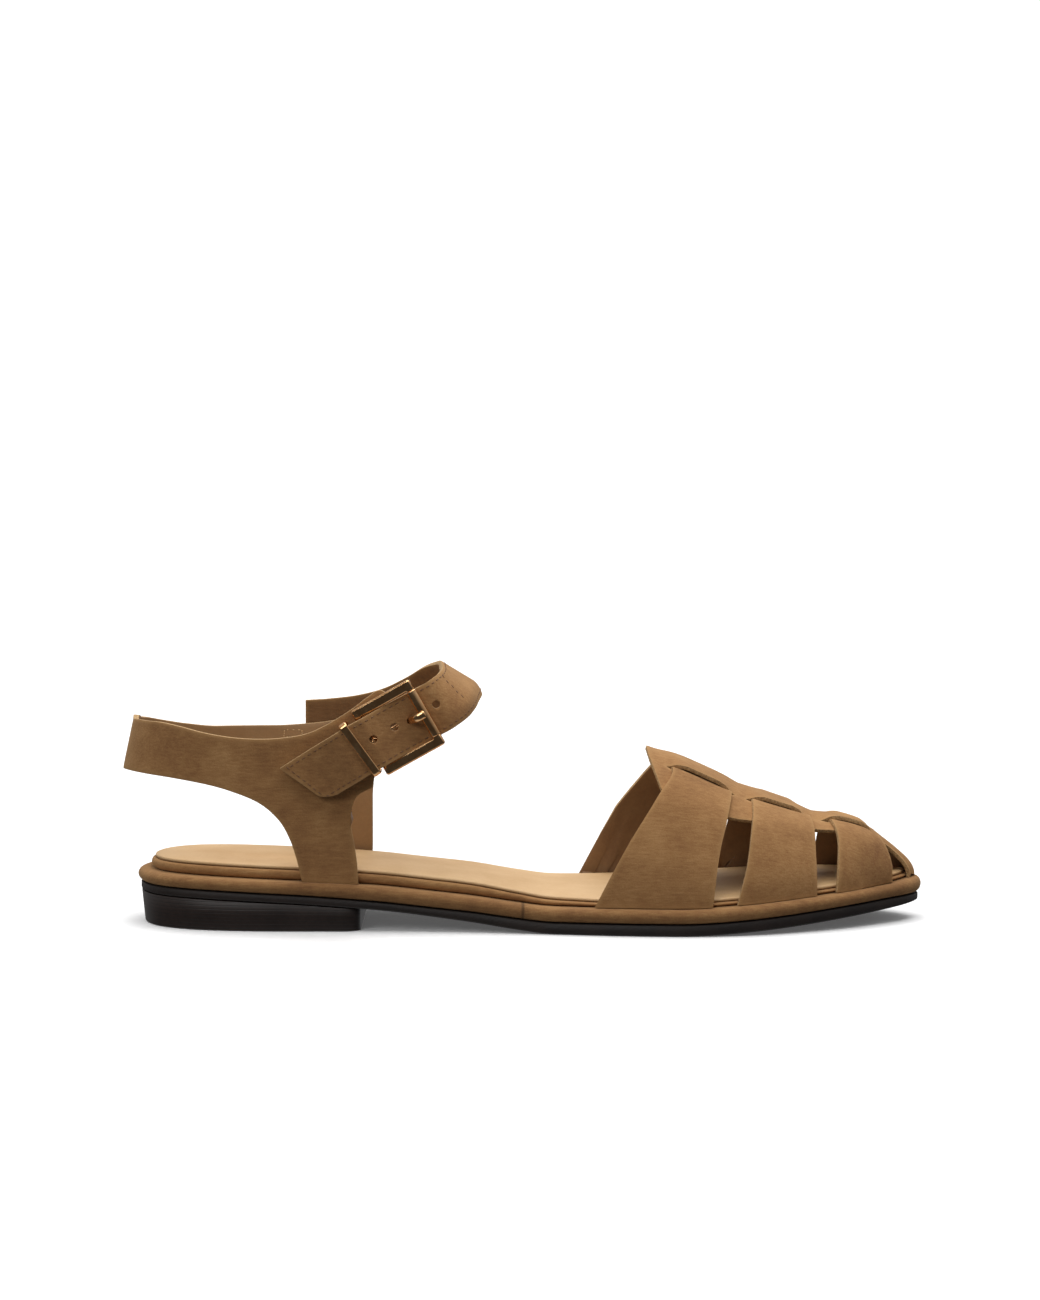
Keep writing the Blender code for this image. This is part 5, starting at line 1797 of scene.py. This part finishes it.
@dataclass
class Buckle:
    """Roller buckle with its prong, folded tab and keeper.

    Attributes:
        plane: Its axes and sizes.
        rail_face: Width of the rails' flat faces with their bevels.
        rail_deep: Depth of the rails.
        corner: Rounding of the frame's outer corners.
        bevel: Width of the bevels along the rails and the keeper.
        keeper_wide: Width of the keeper's band.
        keeper_lean: How far the keeper leans from square to the strap.
        roller_roll: Radius of the roller's ends.
        prong_wide: Width of the prong.
        chape_wide: Width of the folded tab.
        chape_slot: Width of the slot in it for the prong.
        strap_width: Width of the ankle strap.
    """

    plane: BucklePlane
    rail_face: float = 3.4 * MM
    rail_deep: float = 1.8 * MM
    corner: float = 0.8 * MM
    bevel: float = 0.4 * MM
    keeper_wide: float = 2.7 * MM
    keeper_lean: float = math.radians(6.0)
    roller_roll: float = 0.35 * MM
    prong_wide: float = 2.2 * MM
    chape_wide: float = 13.0 * MM
    chape_slot: float = 4.2 * MM
    strap_width: float = 17.0 * MM

    def build_frame(self) -> None:
        """Bevelled rails with nearly square corners, and thin bars at the hinge and roller."""
        plane, steps, run = self.plane, 5, 22
        a, b = plane.long / 2, plane.wide / 2
        inner_a, inner_b = a - plane.rail, b - self.rail_face
        signs = ((1, 1), (-1, 1), (-1, -1), (1, -1))
        pairs: list[tuple[Vector, Vector, bool]] = []
        for quadrant, (sa, sb) in enumerate(signs):
            inner = Vector((sa * inner_a, sb * inner_b))
            ends = [Vector((sa * a, sb * inner_b)), Vector((sa * inner_a, sb * b))]
            bar = quadrant % 2 == 1
            if bar:
                ends.reverse()
            pairs.append((ends[0], inner, False))
            for k in range(steps + 1):
                turn = (quadrant + k / steps) * math.pi / 2
                pairs.append((
                    Vector((
                        sa * (a - self.corner) + self.corner * math.cos(turn),
                        sb * (b - self.corner) + self.corner * math.sin(turn),
                    )),
                    inner,
                    False,
                ))
            next_a, next_b = signs[(quadrant + 1) % 4]
            along = Vector((next_a * inner_a, next_b * inner_b)) - inner
            pairs += [
                (ends[1] + along * (k / run), inner + along * (k / run), bar and 0 < k < run)
                for k in range(run)
            ]
        slope = (plane.roller_level - plane.hinge_level) / plane.span
        normal = plane.axis(-slope, 0.0, 1.0)
        spine, halves = [], []
        for outer, inner, _ in pairs:
            far, near = (
                plane.point(
                    spot.x + plane.middle, spot.y + plane.sideways,
                    plane.frame_level(spot.x + plane.middle),
                )
                for spot in (outer, inner)
            )
            spine.append(((far + near) / 2, (far - near).normalized(), normal))
            halves.append((far - near).length / 2)

        def section(share: float, turn: float) -> tuple[float, float]:
            i = round(share * len(pairs)) % len(pairs)
            if pairs[i][2]:
                return oval(turn - 1.0 / 16.0, plane.bar / 2, plane.bar / 2)
            return bevelled(turn, halves[i], self.rail_deep / 2, self.bevel)

        mesh = bmesh.new()
        tube(mesh, spine, section, 32, True)
        close_up(mesh)
        add_piece("buckle_frame_cast", mesh, (GOLD,), "buckle_frame")

    def build_roller(self) -> None:
        """Tube that turns on the outer bar, rolled in at its ends."""
        plane = self.plane
        half, roll = (plane.wide - 2 * self.rail_face) / 2 - plane.last.fit, self.roller_roll
        radius, bore = plane.roller / 2, plane.bar / 2 + plane.last.fit
        level = plane.frame_level(plane.outer)
        profile = [(-half, bore), (-half, radius - roll)]
        for k in range(1, 6):
            turn = math.pi / 2 * k / 6
            profile.append((
                -half + roll * (1 - math.cos(turn)), radius - roll * (1 - math.sin(turn))
            ))
        profile.append((-half + roll, radius))
        profile += [(-b, r) for b, r in profile[::-1]] + [(-half, bore)]
        mesh = bmesh.new()

        def place(u: float, v: float) -> Vector:
            b, r = profile[round(v * (len(profile) - 1))]
            turn = 2.0 * math.pi * u
            return plane.point(
                plane.outer + r * math.cos(turn), b + plane.sideways, level + r * math.sin(turn)
            )

        mapped_grid(mesh, 40, len(profile) - 1, place)
        close_up(mesh)
        add_piece("buckle_roller_tube", mesh, (GOLD,), "buckle_roller")

    def build_prong(self) -> None:
        """Tongue looped round the hinge bar, bent to rest on the roller."""
        plane = self.plane
        radius = plane.bar / 2 + plane.last.fit + plane.prong_deep / 2
        line = []
        for k in range(1, 14):
            turn = math.radians(20 + k * 320 / 14)
            line.append((
                plane.hinge + radius * math.cos(turn), plane.hinge_level + radius * math.sin(turn)
            ))
        line += [(plane.hinge + a * plane.span, n * plane.prong_top) for a, n in PRONG]
        path = smooth_path([plane.point(a, 0.0, n) for a, n in line], 6)
        side = plane.axis(0.0, 1.0, 0.0)
        frames = []
        for i, point in enumerate(path):
            along = (path[min(i + 1, len(path) - 1)] - path[max(i - 1, 0)]).normalized()
            frames.append((point, side, along.cross(side).normalized()))
        start, end = frames[0], frames[-1]
        ahead = (path[-1] - path[-2]).normalized()
        behind = (path[0] - path[1]).normalized()
        caps = [(1 - math.cos(k * math.pi / 10), math.sin(k * math.pi / 10)) for k in range(1, 6)]
        for _, out in caps:
            frames.append((end[0] + ahead * out * 0.7 * MM, end[1], end[2]))
            frames.insert(0, (start[0] + behind * out * 0.3 * MM, start[1], start[2]))
        total = len(frames) - 1

        def section(share: float, turn: float) -> tuple[float, float]:
            i = round(share * total)
            lean = min(i, total - i)
            size = 1.0 if lean >= 5 else max(math.cos((5 - lean) * math.pi / 10), 0.0)
            wide = self.prong_wide / 2 * (1.0 + 0.2 * ease((share - 0.7) / 0.3))
            return oval(turn, wide * size, plane.prong_deep / 2 * size)

        mesh = bmesh.new()
        tube(mesh, frames, section, 20, False)
        close_up(mesh, 4e-6)
        add_piece("buckle_prong_tongue", mesh, (GOLD,), "buckle_prong")

    def build_keeper(self) -> None:
        """Flat metal band that holds the free end of the strap down."""
        plane = self.plane
        fit, bar = plane.last.fit, plane.keeper_bar
        level = plane.levels.at(plane.keeper_place)
        low, high = fit + bar / 2, level + plane.strap + fit + bar / 2
        half, corner = self.strap_width / 2 + fit + 0.6 * MM + bar / 2, 1.2 * MM
        middle = plane.strap_middle(plane.keeper_place)
        outline: list[tuple[float, float]] = []
        corners = ((1, high - corner), (-1, high - corner), (-1, low + corner), (1, low + corner))

        def spot(quadrant: int, share: float) -> tuple[float, float]:
            sb, centre = corners[quadrant % 4]
            turn = (quadrant + share) * math.pi / 2
            b = sb * (half - corner) + corner * math.cos(turn)
            return b, centre + corner * math.sin(turn)

        for quadrant in range(4):
            outline += [spot(quadrant, k / 8) for k in range(9)]
            (b1, n1), (b2, n2) = outline[-1], spot(quadrant + 1, 0.0)
            run = 16 if quadrant % 2 == 0 else 3
            outline += [
                (b1 + (b2 - b1) * k / run, n1 + (n2 - n1) * k / run) for k in range(1, run)
            ]
        points = [
            plane.point(plane.keeper_place - b * math.sin(self.keeper_lean), middle + b, n)
            for b, n in outline
        ]
        axis = plane.axis(math.cos(self.keeper_lean), math.sin(self.keeper_lean), 0.0)
        mesh = bmesh.new()
        tube(
            mesh,
            ring_frames(points, axis),
            lambda _, turn: bevelled(turn, bar / 2, self.keeper_wide / 2, 0.7 * self.bevel),
            32,
            True,
        )
        close_up(mesh)
        add_piece("keeper_band", mesh, (GOLD,), "keeper_loop")

    def build_chape(self) -> None:
        """Suede tab folded round the hinge bar, slotted for the prong."""
        plane = self.plane
        outer = plane.bar / 2 + plane.last.fit + plane.chape_wall
        rear = plane.hinge - plane.chape_long
        path = [(rear + (plane.hinge - rear) * k / 12, outer) for k in range(12)]
        for k in range(17):
            turn = math.pi / 2 - math.pi * k / 16
            path.append((plane.hinge + outer * math.cos(turn), outer * math.sin(turn)))
        path += [(plane.hinge + (rear - plane.hinge) * k / 12, -outer) for k in range(1, 13)]
        wide, slot, columns = self.chape_wide / 2, self.chape_slot / 2, 20
        mesh = bmesh.new()

        def place(u: float, v: float) -> Vector:
            a, n = path[round(u * (len(path) - 1))]
            share = 2.0 * v - 1.0
            b = math.copysign(slot + (wide - slot) * (abs(share) * 1.25 - 0.25), share)
            if abs(share) < 0.2:
                b = slot * share / 0.2
            return plane.point(a, b, plane.hinge_level + n)

        mapped_grid(mesh, len(path) - 1, columns, place)
        reach = outer + 1.0 * MM
        centre = plane.point(plane.hinge, 0.0, plane.hinge_level)
        along, across = plane.axis(1.0, 0.0, 0.0), plane.axis(0.0, 1.0, 0.0)
        cuts = []
        for face in mesh.faces:
            away = face.calc_center_median() - centre
            if abs(away.dot(across)) < slot and away.dot(along) > -reach:
                cuts.append(face)
        bmesh.ops.delete(mesh, geom=cuts, context="FACES")
        face_outwards(mesh, lambda p: p - centre)
        mark_edges(mesh, 2.0 * MM)
        add_piece(
            "buckle_tab",
            mesh,
            (SUEDE, SHADED_INNER_SUEDE, EDGE),
            "buckle_chape",
            Wall(plane.chape_wall, 0.15 * MM),
        )

    def build(self) -> None:
        """Builds the buckle from the hinge outwards."""
        self.build_chape()
        self.build_frame()
        self.build_roller()
        self.build_prong()
        self.build_keeper()


@dataclass
class AnkleStrap:
    """Strap from the inner quarter over the instep and through the buckle.

    Attributes:
        plane: Axes of the buckle that it passes.
        width: Width of the strap.
        wall: Thickness of its two layers.
        belly: How far its lower edge rolls in where it turns over the instep.
        hole: Diameter of the round holes.
        spacing: Distance between the holes.
        hole_shift: Shift of the round holes from the prong's, along the strap.
        hole_aside: Shift of the round holes from the strap's middle line.
        margin: From the strap's edge in to its stitching.
        pitch: Length from stitch to stitch.
        thread_lift: Height of the stitches' middles above the suede.
        straight_rows: Rows of points along the strap's straight run through the buckle.
        tip_rows: Rows in its slanted end.
        cross_row: Rows from the straight run's end to the stitches across the strap.
    """

    plane: BucklePlane
    width: float = 17.3 * MM
    wall: float = 1.7 * MM
    belly: float = 2.4 * MM
    hole: float = 2.6 * MM
    spacing: float = 7.7 * MM
    hole_shift: float = 1.5 * MM
    hole_aside: float = 0.9 * MM
    margin: float = 1.35 * MM
    pitch: float = 2.3 * MM
    thread_lift: float = 0.02 * MM
    straight_rows: int = 76
    tip_rows: int = 14
    cross_row: int = 19

    def __post_init__(self) -> None:
        """Lays out the strap's middle line with its width and outward directions."""
        plane = self.plane
        self.tip = column(TIP, 1)
        self.tip_blend = plane.tail_start - 0.346 * plane.tail
        out = plane.axis(0.0, 0.0, 1.0)
        across = plane.axis(0.0, 1.0, 0.0)
        near = []
        start, stop = self.tip_blend, plane.outer + plane.past_roller
        for k in range(self.straight_rows + 1):
            a = start + (stop - start) * k / self.straight_rows
            near.append((plane.point(a, plane.strap_middle(a), plane.levels.at(a)), across, out))
        keys = [(near[-5][0], across), (near[-1][0], across)]
        last = plane.last
        for x, y, height, *up in LOOP:
            centre = Vector((x * last.length, y * last.ball, last.ankle_height(height)))
            keys.append((centre, Vector(up).normalized()))
        keys.append((keys[-1][0] * 2 - keys[-2][0], keys[-1][1]))
        loop, swells = [], []
        for i in range(1, len(keys) - 2):
            p0, p1, p2, p3 = (keys[i + k][0] for k in (-1, 0, 1, 2))
            for k in range(1, 10):
                t = k / 9
                pull = (p2 - p1).length
                centre = (
                    p1 * (2 * t**3 - 3 * t**2 + 1)
                    + (p2 - p0).normalized() * pull * (t**3 - 2 * t**2 + t)
                    + p2 * (3 * t**2 - 2 * t**3)
                    + (p3 - p1).normalized() * pull * (t**3 - t**2)
                )
                loop.append((centre, keys[i][1].lerp(keys[i + 1][1], t).normalized()))
                swells.append(ease((i + t - 1) / 3) * ease((len(keys) - 2 - i - t) / 3))
        self.rows = list(near)
        self.swells = [0.0] * len(near) + [self.belly * swell for swell in swells]
        points = [row[0] for row in near] + [row[0] for row in loop]
        for i, (centre, up) in enumerate(loop, start=len(near)):
            along = points[min(i + 1, len(points) - 1)] - points[i - 1]
            normal = along.cross(up).normalized()
            if normal.dot(self.off_the_ankle(centre)) < 0:
                normal = -normal
            share = ease((i - len(near)) / 12)
            self.rows.append((centre, up, out.lerp(normal, share).normalized()))

    def inner_face(self, i: int, share: float) -> Vector:
        """Point of the strap's inner face at a row and a share of its width."""
        centre, up, out = self.rows[i]
        swell = -self.swells[i] * (max(0.0, -share - 0.2) / 0.3) ** 2
        return centre + up * (share * self.width) + out * swell

    def tip_point(self, t: float, share: float) -> Vector:
        """Point of the inner face in the slanted end, t from the cut edge to the blend."""
        plane = self.plane
        start = plane.tail_start - self.tip.at(share) * plane.tail
        a = start + (self.tip_blend - start) * t
        b = plane.strap_middle(a) + share * self.width
        return plane.point(a, b, plane.levels.at(a))

    def surface(self, i: float, share: float, lift: float) -> Vector:
        """Point over the strap's outer face, rows before 0 in the slanted end."""
        if i < 0:
            base = self.tip_point(1.0 + i / self.tip_rows, share)
            return base + self.rows[0][2] * (self.wall + lift)
        low = min(int(i), len(self.rows) - 2)
        t = i - low
        ends = [
            self.inner_face(k, share) + self.rows[k][2] * (self.wall + lift) for k in (low, low + 1)
        ]
        return ends[0].lerp(ends[1], t)

    def build_strap(self) -> None:
        """The strap with its punched holes."""
        total, columns = self.tip_rows + len(self.rows) - 1, 22
        mesh = bmesh.new()

        def place(u: float, v: float) -> Vector:
            share = v - 0.5
            share = math.copysign(0.5 * (abs(2 * share)) ** 0.8, share)
            return self.surface(round(u * total) - self.tip_rows, share, 0.0)

        mapped_grid(mesh, total, columns, place)
        face_outwards(mesh, self.off_the_ankle)
        mark_edges(mesh, 2.6 * MM)
        piece = add_piece(
            "ankle_strap_suede", mesh, (SUEDE, SHADED_INNER_SUEDE, EDGE), "ankle_strap", Wall(self.wall)
        )
        self.punch(piece)

    def off_the_ankle(self, point: Vector) -> Vector:
        """Rough direction away from the ankle."""
        last = self.plane.last
        return point - Vector((0.30 * last.length, 0.0, last.ankle_height(0.3)))

    def punch(self, piece: bpy.types.Object) -> None:
        """Punches the round holes and the prong's slot through the strap."""
        plane = self.plane
        mesh = bmesh.new()
        places = [(plane.prong_hole + self.hole_shift + self.spacing * k, 1.0) for k in (-2, -1, 1)]
        places.append((plane.prong_hole, 1.45))
        turn = Matrix([plane.axis(*row) for row in Matrix.Identity(3)]).transposed()
        for a, stretch in places:
            aside = plane.strap_middle(a) + self.hole_aside if stretch == 1.0 else 0.0
            centre = plane.point(a, aside, 5 * MM)
            bmesh.ops.create_cone(
                mesh,
                cap_ends=True,
                segments=28,
                radius1=self.hole / 2,
                radius2=self.hole / 2,
                depth=14 * MM,
                matrix=Matrix.Translation(centre + HEEL_POINT) @ turn.to_4x4() @ Matrix.Diagonal(
                    (stretch, 1.0, 1.0, 1.0)
                ),
            )
        bmesh.ops.recalc_face_normals(mesh, faces=mesh.faces)
        cutter = add_mesh("punch", mesh, (EDGE,), smooth=False)
        cut = piece.modifiers.new("holes", "BOOLEAN")
        cut.object = cutter
        cut.operation = "DIFFERENCE"
        cut.solver = "EXACT"
        cut.material_mode = "TRANSFER"
        graph = bpy.context.evaluated_depsgraph_get()
        done = bpy.data.meshes.new_from_object(piece.evaluated_get(graph))
        piece.modifiers.clear()
        old, piece.data = piece.data, done
        bpy.data.meshes.remove(old)
        done.name = piece.name
        bpy.data.objects.remove(cutter)

    def stitch_places(self, share: float) -> list:
        """Places of the stitches along one edge of the strap."""
        first, final = 1 - self.tip_rows, len(self.rows) - 2
        steps = [i / 4 for i in range(first * 4, final * 4)]
        line = [self.surface(i, share, self.thread_lift) for i in steps]
        places, due = [], self.pitch
        for i in range(1, len(line) - 1):
            due -= (line[i] - line[i - 1]).length
            if due <= 0.0:
                due += self.pitch
                row = min(max(int(steps[i]), 0), len(self.rows) - 1)
                along = (line[i + 1] - line[i - 1]).normalized()
                places.append((line[i], along, self.rows[row][2]))
        return places

    def build_stitches(self) -> None:
        """Two rows of stitches along the strap, a row across it and a row across its slanted end.
        """
        inset = 0.5 - self.margin / self.width
        places = self.stitch_places(inset) + self.stitch_places(-inset)
        row = self.straight_rows + self.cross_row
        for k in range(5):
            share = (3 - k) * self.pitch / self.width
            middle = self.surface(row + k // 2, share, self.thread_lift)
            places.append((middle, self.rows[row][1], self.rows[row][2]))
        for share in [k / 7 * 2 * inset - inset for k in range(8)]:
            ends = [self.tip_point(0.12, share + step) for step in (-0.02, 0.02)]
            middle = self.surface(-12.2, share, self.thread_lift)
            places.append((middle, (ends[1] - ends[0]).normalized(), self.rows[0][2]))
        sew("ankle_strap_stitching", places, "ankle_strap", THREAD)

    def build(self) -> None:
        """Builds the strap and its stitching."""
        self.build_strap()
        self.build_stitches()


# Studio

# name, place, aim, width and height, power in watts
SOFT_BOXES = (
    ("above", (0.15, -0.1, 1.5), (0.0, 0.0, 0.0), (1.5, 1.5), 20.0),
    ("front", (-0.9, -1.7, 1.1), (0.0, 0.0, 0.04), (0.8, 0.8), 9.0),
    ("back", (0.0, 1.4, 2.0), (0.0, 2.6, 0.6), (3.0, 1.0), 60.0),
)


@dataclass
class Studio:
    """White paper sweep, soft lights and the camera of the photograph.

    Attributes:
        focal: Focal length in pixels.
        across: Width of the picture in pixels.
        pitch: How far the camera looks down, in degrees.
        eye: Where it stands.
        sensor: Width of its sensor in millimetres.
    """

    focal: float = 3576.0
    across: float = 1040.0
    pitch: float = 4.814
    eye: tuple[float, float, float] = (-0.001567, -1.19118, 0.19079)
    sensor: float = 36.0

    def build_camera(self) -> None:
        """Places the camera where the photograph was taken from."""
        lens = bpy.data.cameras.new("camera")
        lens.sensor_fit = "HORIZONTAL"
        lens.sensor_width = self.sensor
        lens.lens = self.focal * self.sensor / self.across
        lens.clip_start, lens.clip_end = 0.05, 50.0
        camera = add_object("camera", lens)
        camera.location = self.eye
        camera.rotation_euler = (math.radians(90.0 - self.pitch), 0.0, 0.0)
        bpy.context.scene.camera = camera

    def build_sweep(self) -> None:
        """Paper floor that curves up behind the sandal."""
        mesh = bmesh.new()
        half, back, front, bend, top = 4.0, 2.2, -4.0, 0.9, 4.0

        def place(u: float, v: float) -> Vector:
            x = (2.0 * u - 1.0) * half
            if v < 0.4:
                return Vector((x, front + (back - front) * v / 0.4, -0.05 * MM))
            if v < 0.8:
                turn = (v - 0.4) / 0.4 * math.pi / 2
                return Vector((x, back + bend * math.sin(turn), bend * (1 - math.cos(turn))))
            return Vector((x, back + bend, bend + (top - bend) * (v - 0.8) / 0.2))

        mapped_grid(mesh, 2, 40, place)
        face_outwards(mesh, lambda p: Vector((0.0, -1.0, 1.0)))
        sweep = add_mesh("paper_sweep", mesh, (PAPER,))
        # The paper only shows to the camera: in the photograph it neither lights the sandal
        # from below nor shows in the metal.
        sweep.visible_diffuse = False
        sweep.visible_glossy = False
        sweep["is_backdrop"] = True

    def build_light(
        self, name: str, place: Sequence[float], aim: Sequence[float], size: tuple, power: float
    ) -> None:
        """Hangs a soft box.

        Args:
            name: Name of the light.
            place: Where it hangs.
            aim: What it points at.
            size: Its width and height.
            power: Its power in watts.
        """
        light = bpy.data.lights.new(name, "AREA")
        light.shape = "RECTANGLE"
        light.size, light.size_y = size
        light.energy = power
        lamp = add_object(name, light)
        lamp.location = place
        lamp.rotation_euler = (Vector(aim) - Vector(place)).to_track_quat("-Z", "Y").to_euler()

    def build(self) -> None:
        """Sets up the studio."""
        self.build_camera()
        self.build_sweep()
        for name, place, aim, size, power in SOFT_BOXES:
            self.build_light(f"soft_box_{name}", place, aim, size, power)
        # The room is bright overhead and dark low down and behind the camera, as the dark
        # reflections in the metal and the shaded lower parts of the straps show.
        world = bpy.data.worlds.new("studio_air")
        world.use_nodes = True
        tree = world.node_tree
        towards = add_node(tree, "ShaderNodeTexCoord").outputs["Generated"]
        split = add_node(tree, "ShaderNodeSeparateXYZ", {0: towards}).outputs
        height = blend_of(tree, ((split["Z"], 1.0), (split["Y"], 0.45)))
        lit = spread(tree, height, (-0.35, 0.9), (0.05, 0.6))
        table = spread(tree, split["Z"], (-0.85, -0.6), (0.6, 0.0))
        total = blend_of(tree, ((lit, 1.0), (table, 1.0)))
        feed(tree, tree.nodes["Background"], {"Color": WHITE, "Strength": total})
        bpy.context.scene.world = world
        bpy.context.scene.view_settings.view_transform = "Standard"


def corners() -> list[list[float]]:
    """Lowest and highest corner of what is shown, as plain numbers."""
    return [[float(value) for value in corner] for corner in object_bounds()]


def main() -> None:
    """Builds the sandal and the studio."""
    logging.basicConfig(level=logging.INFO, format="%(message)s", force=True)
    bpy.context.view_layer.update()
    last = Last()
    Studio().build()
    Sole(last).build()
    Vamp(last).build()
    Quarter(last).build()
    plane = BucklePlane(last)
    Buckle(plane).build()
    AnkleStrap(plane).build()


if __name__ == "__main__":
    main()
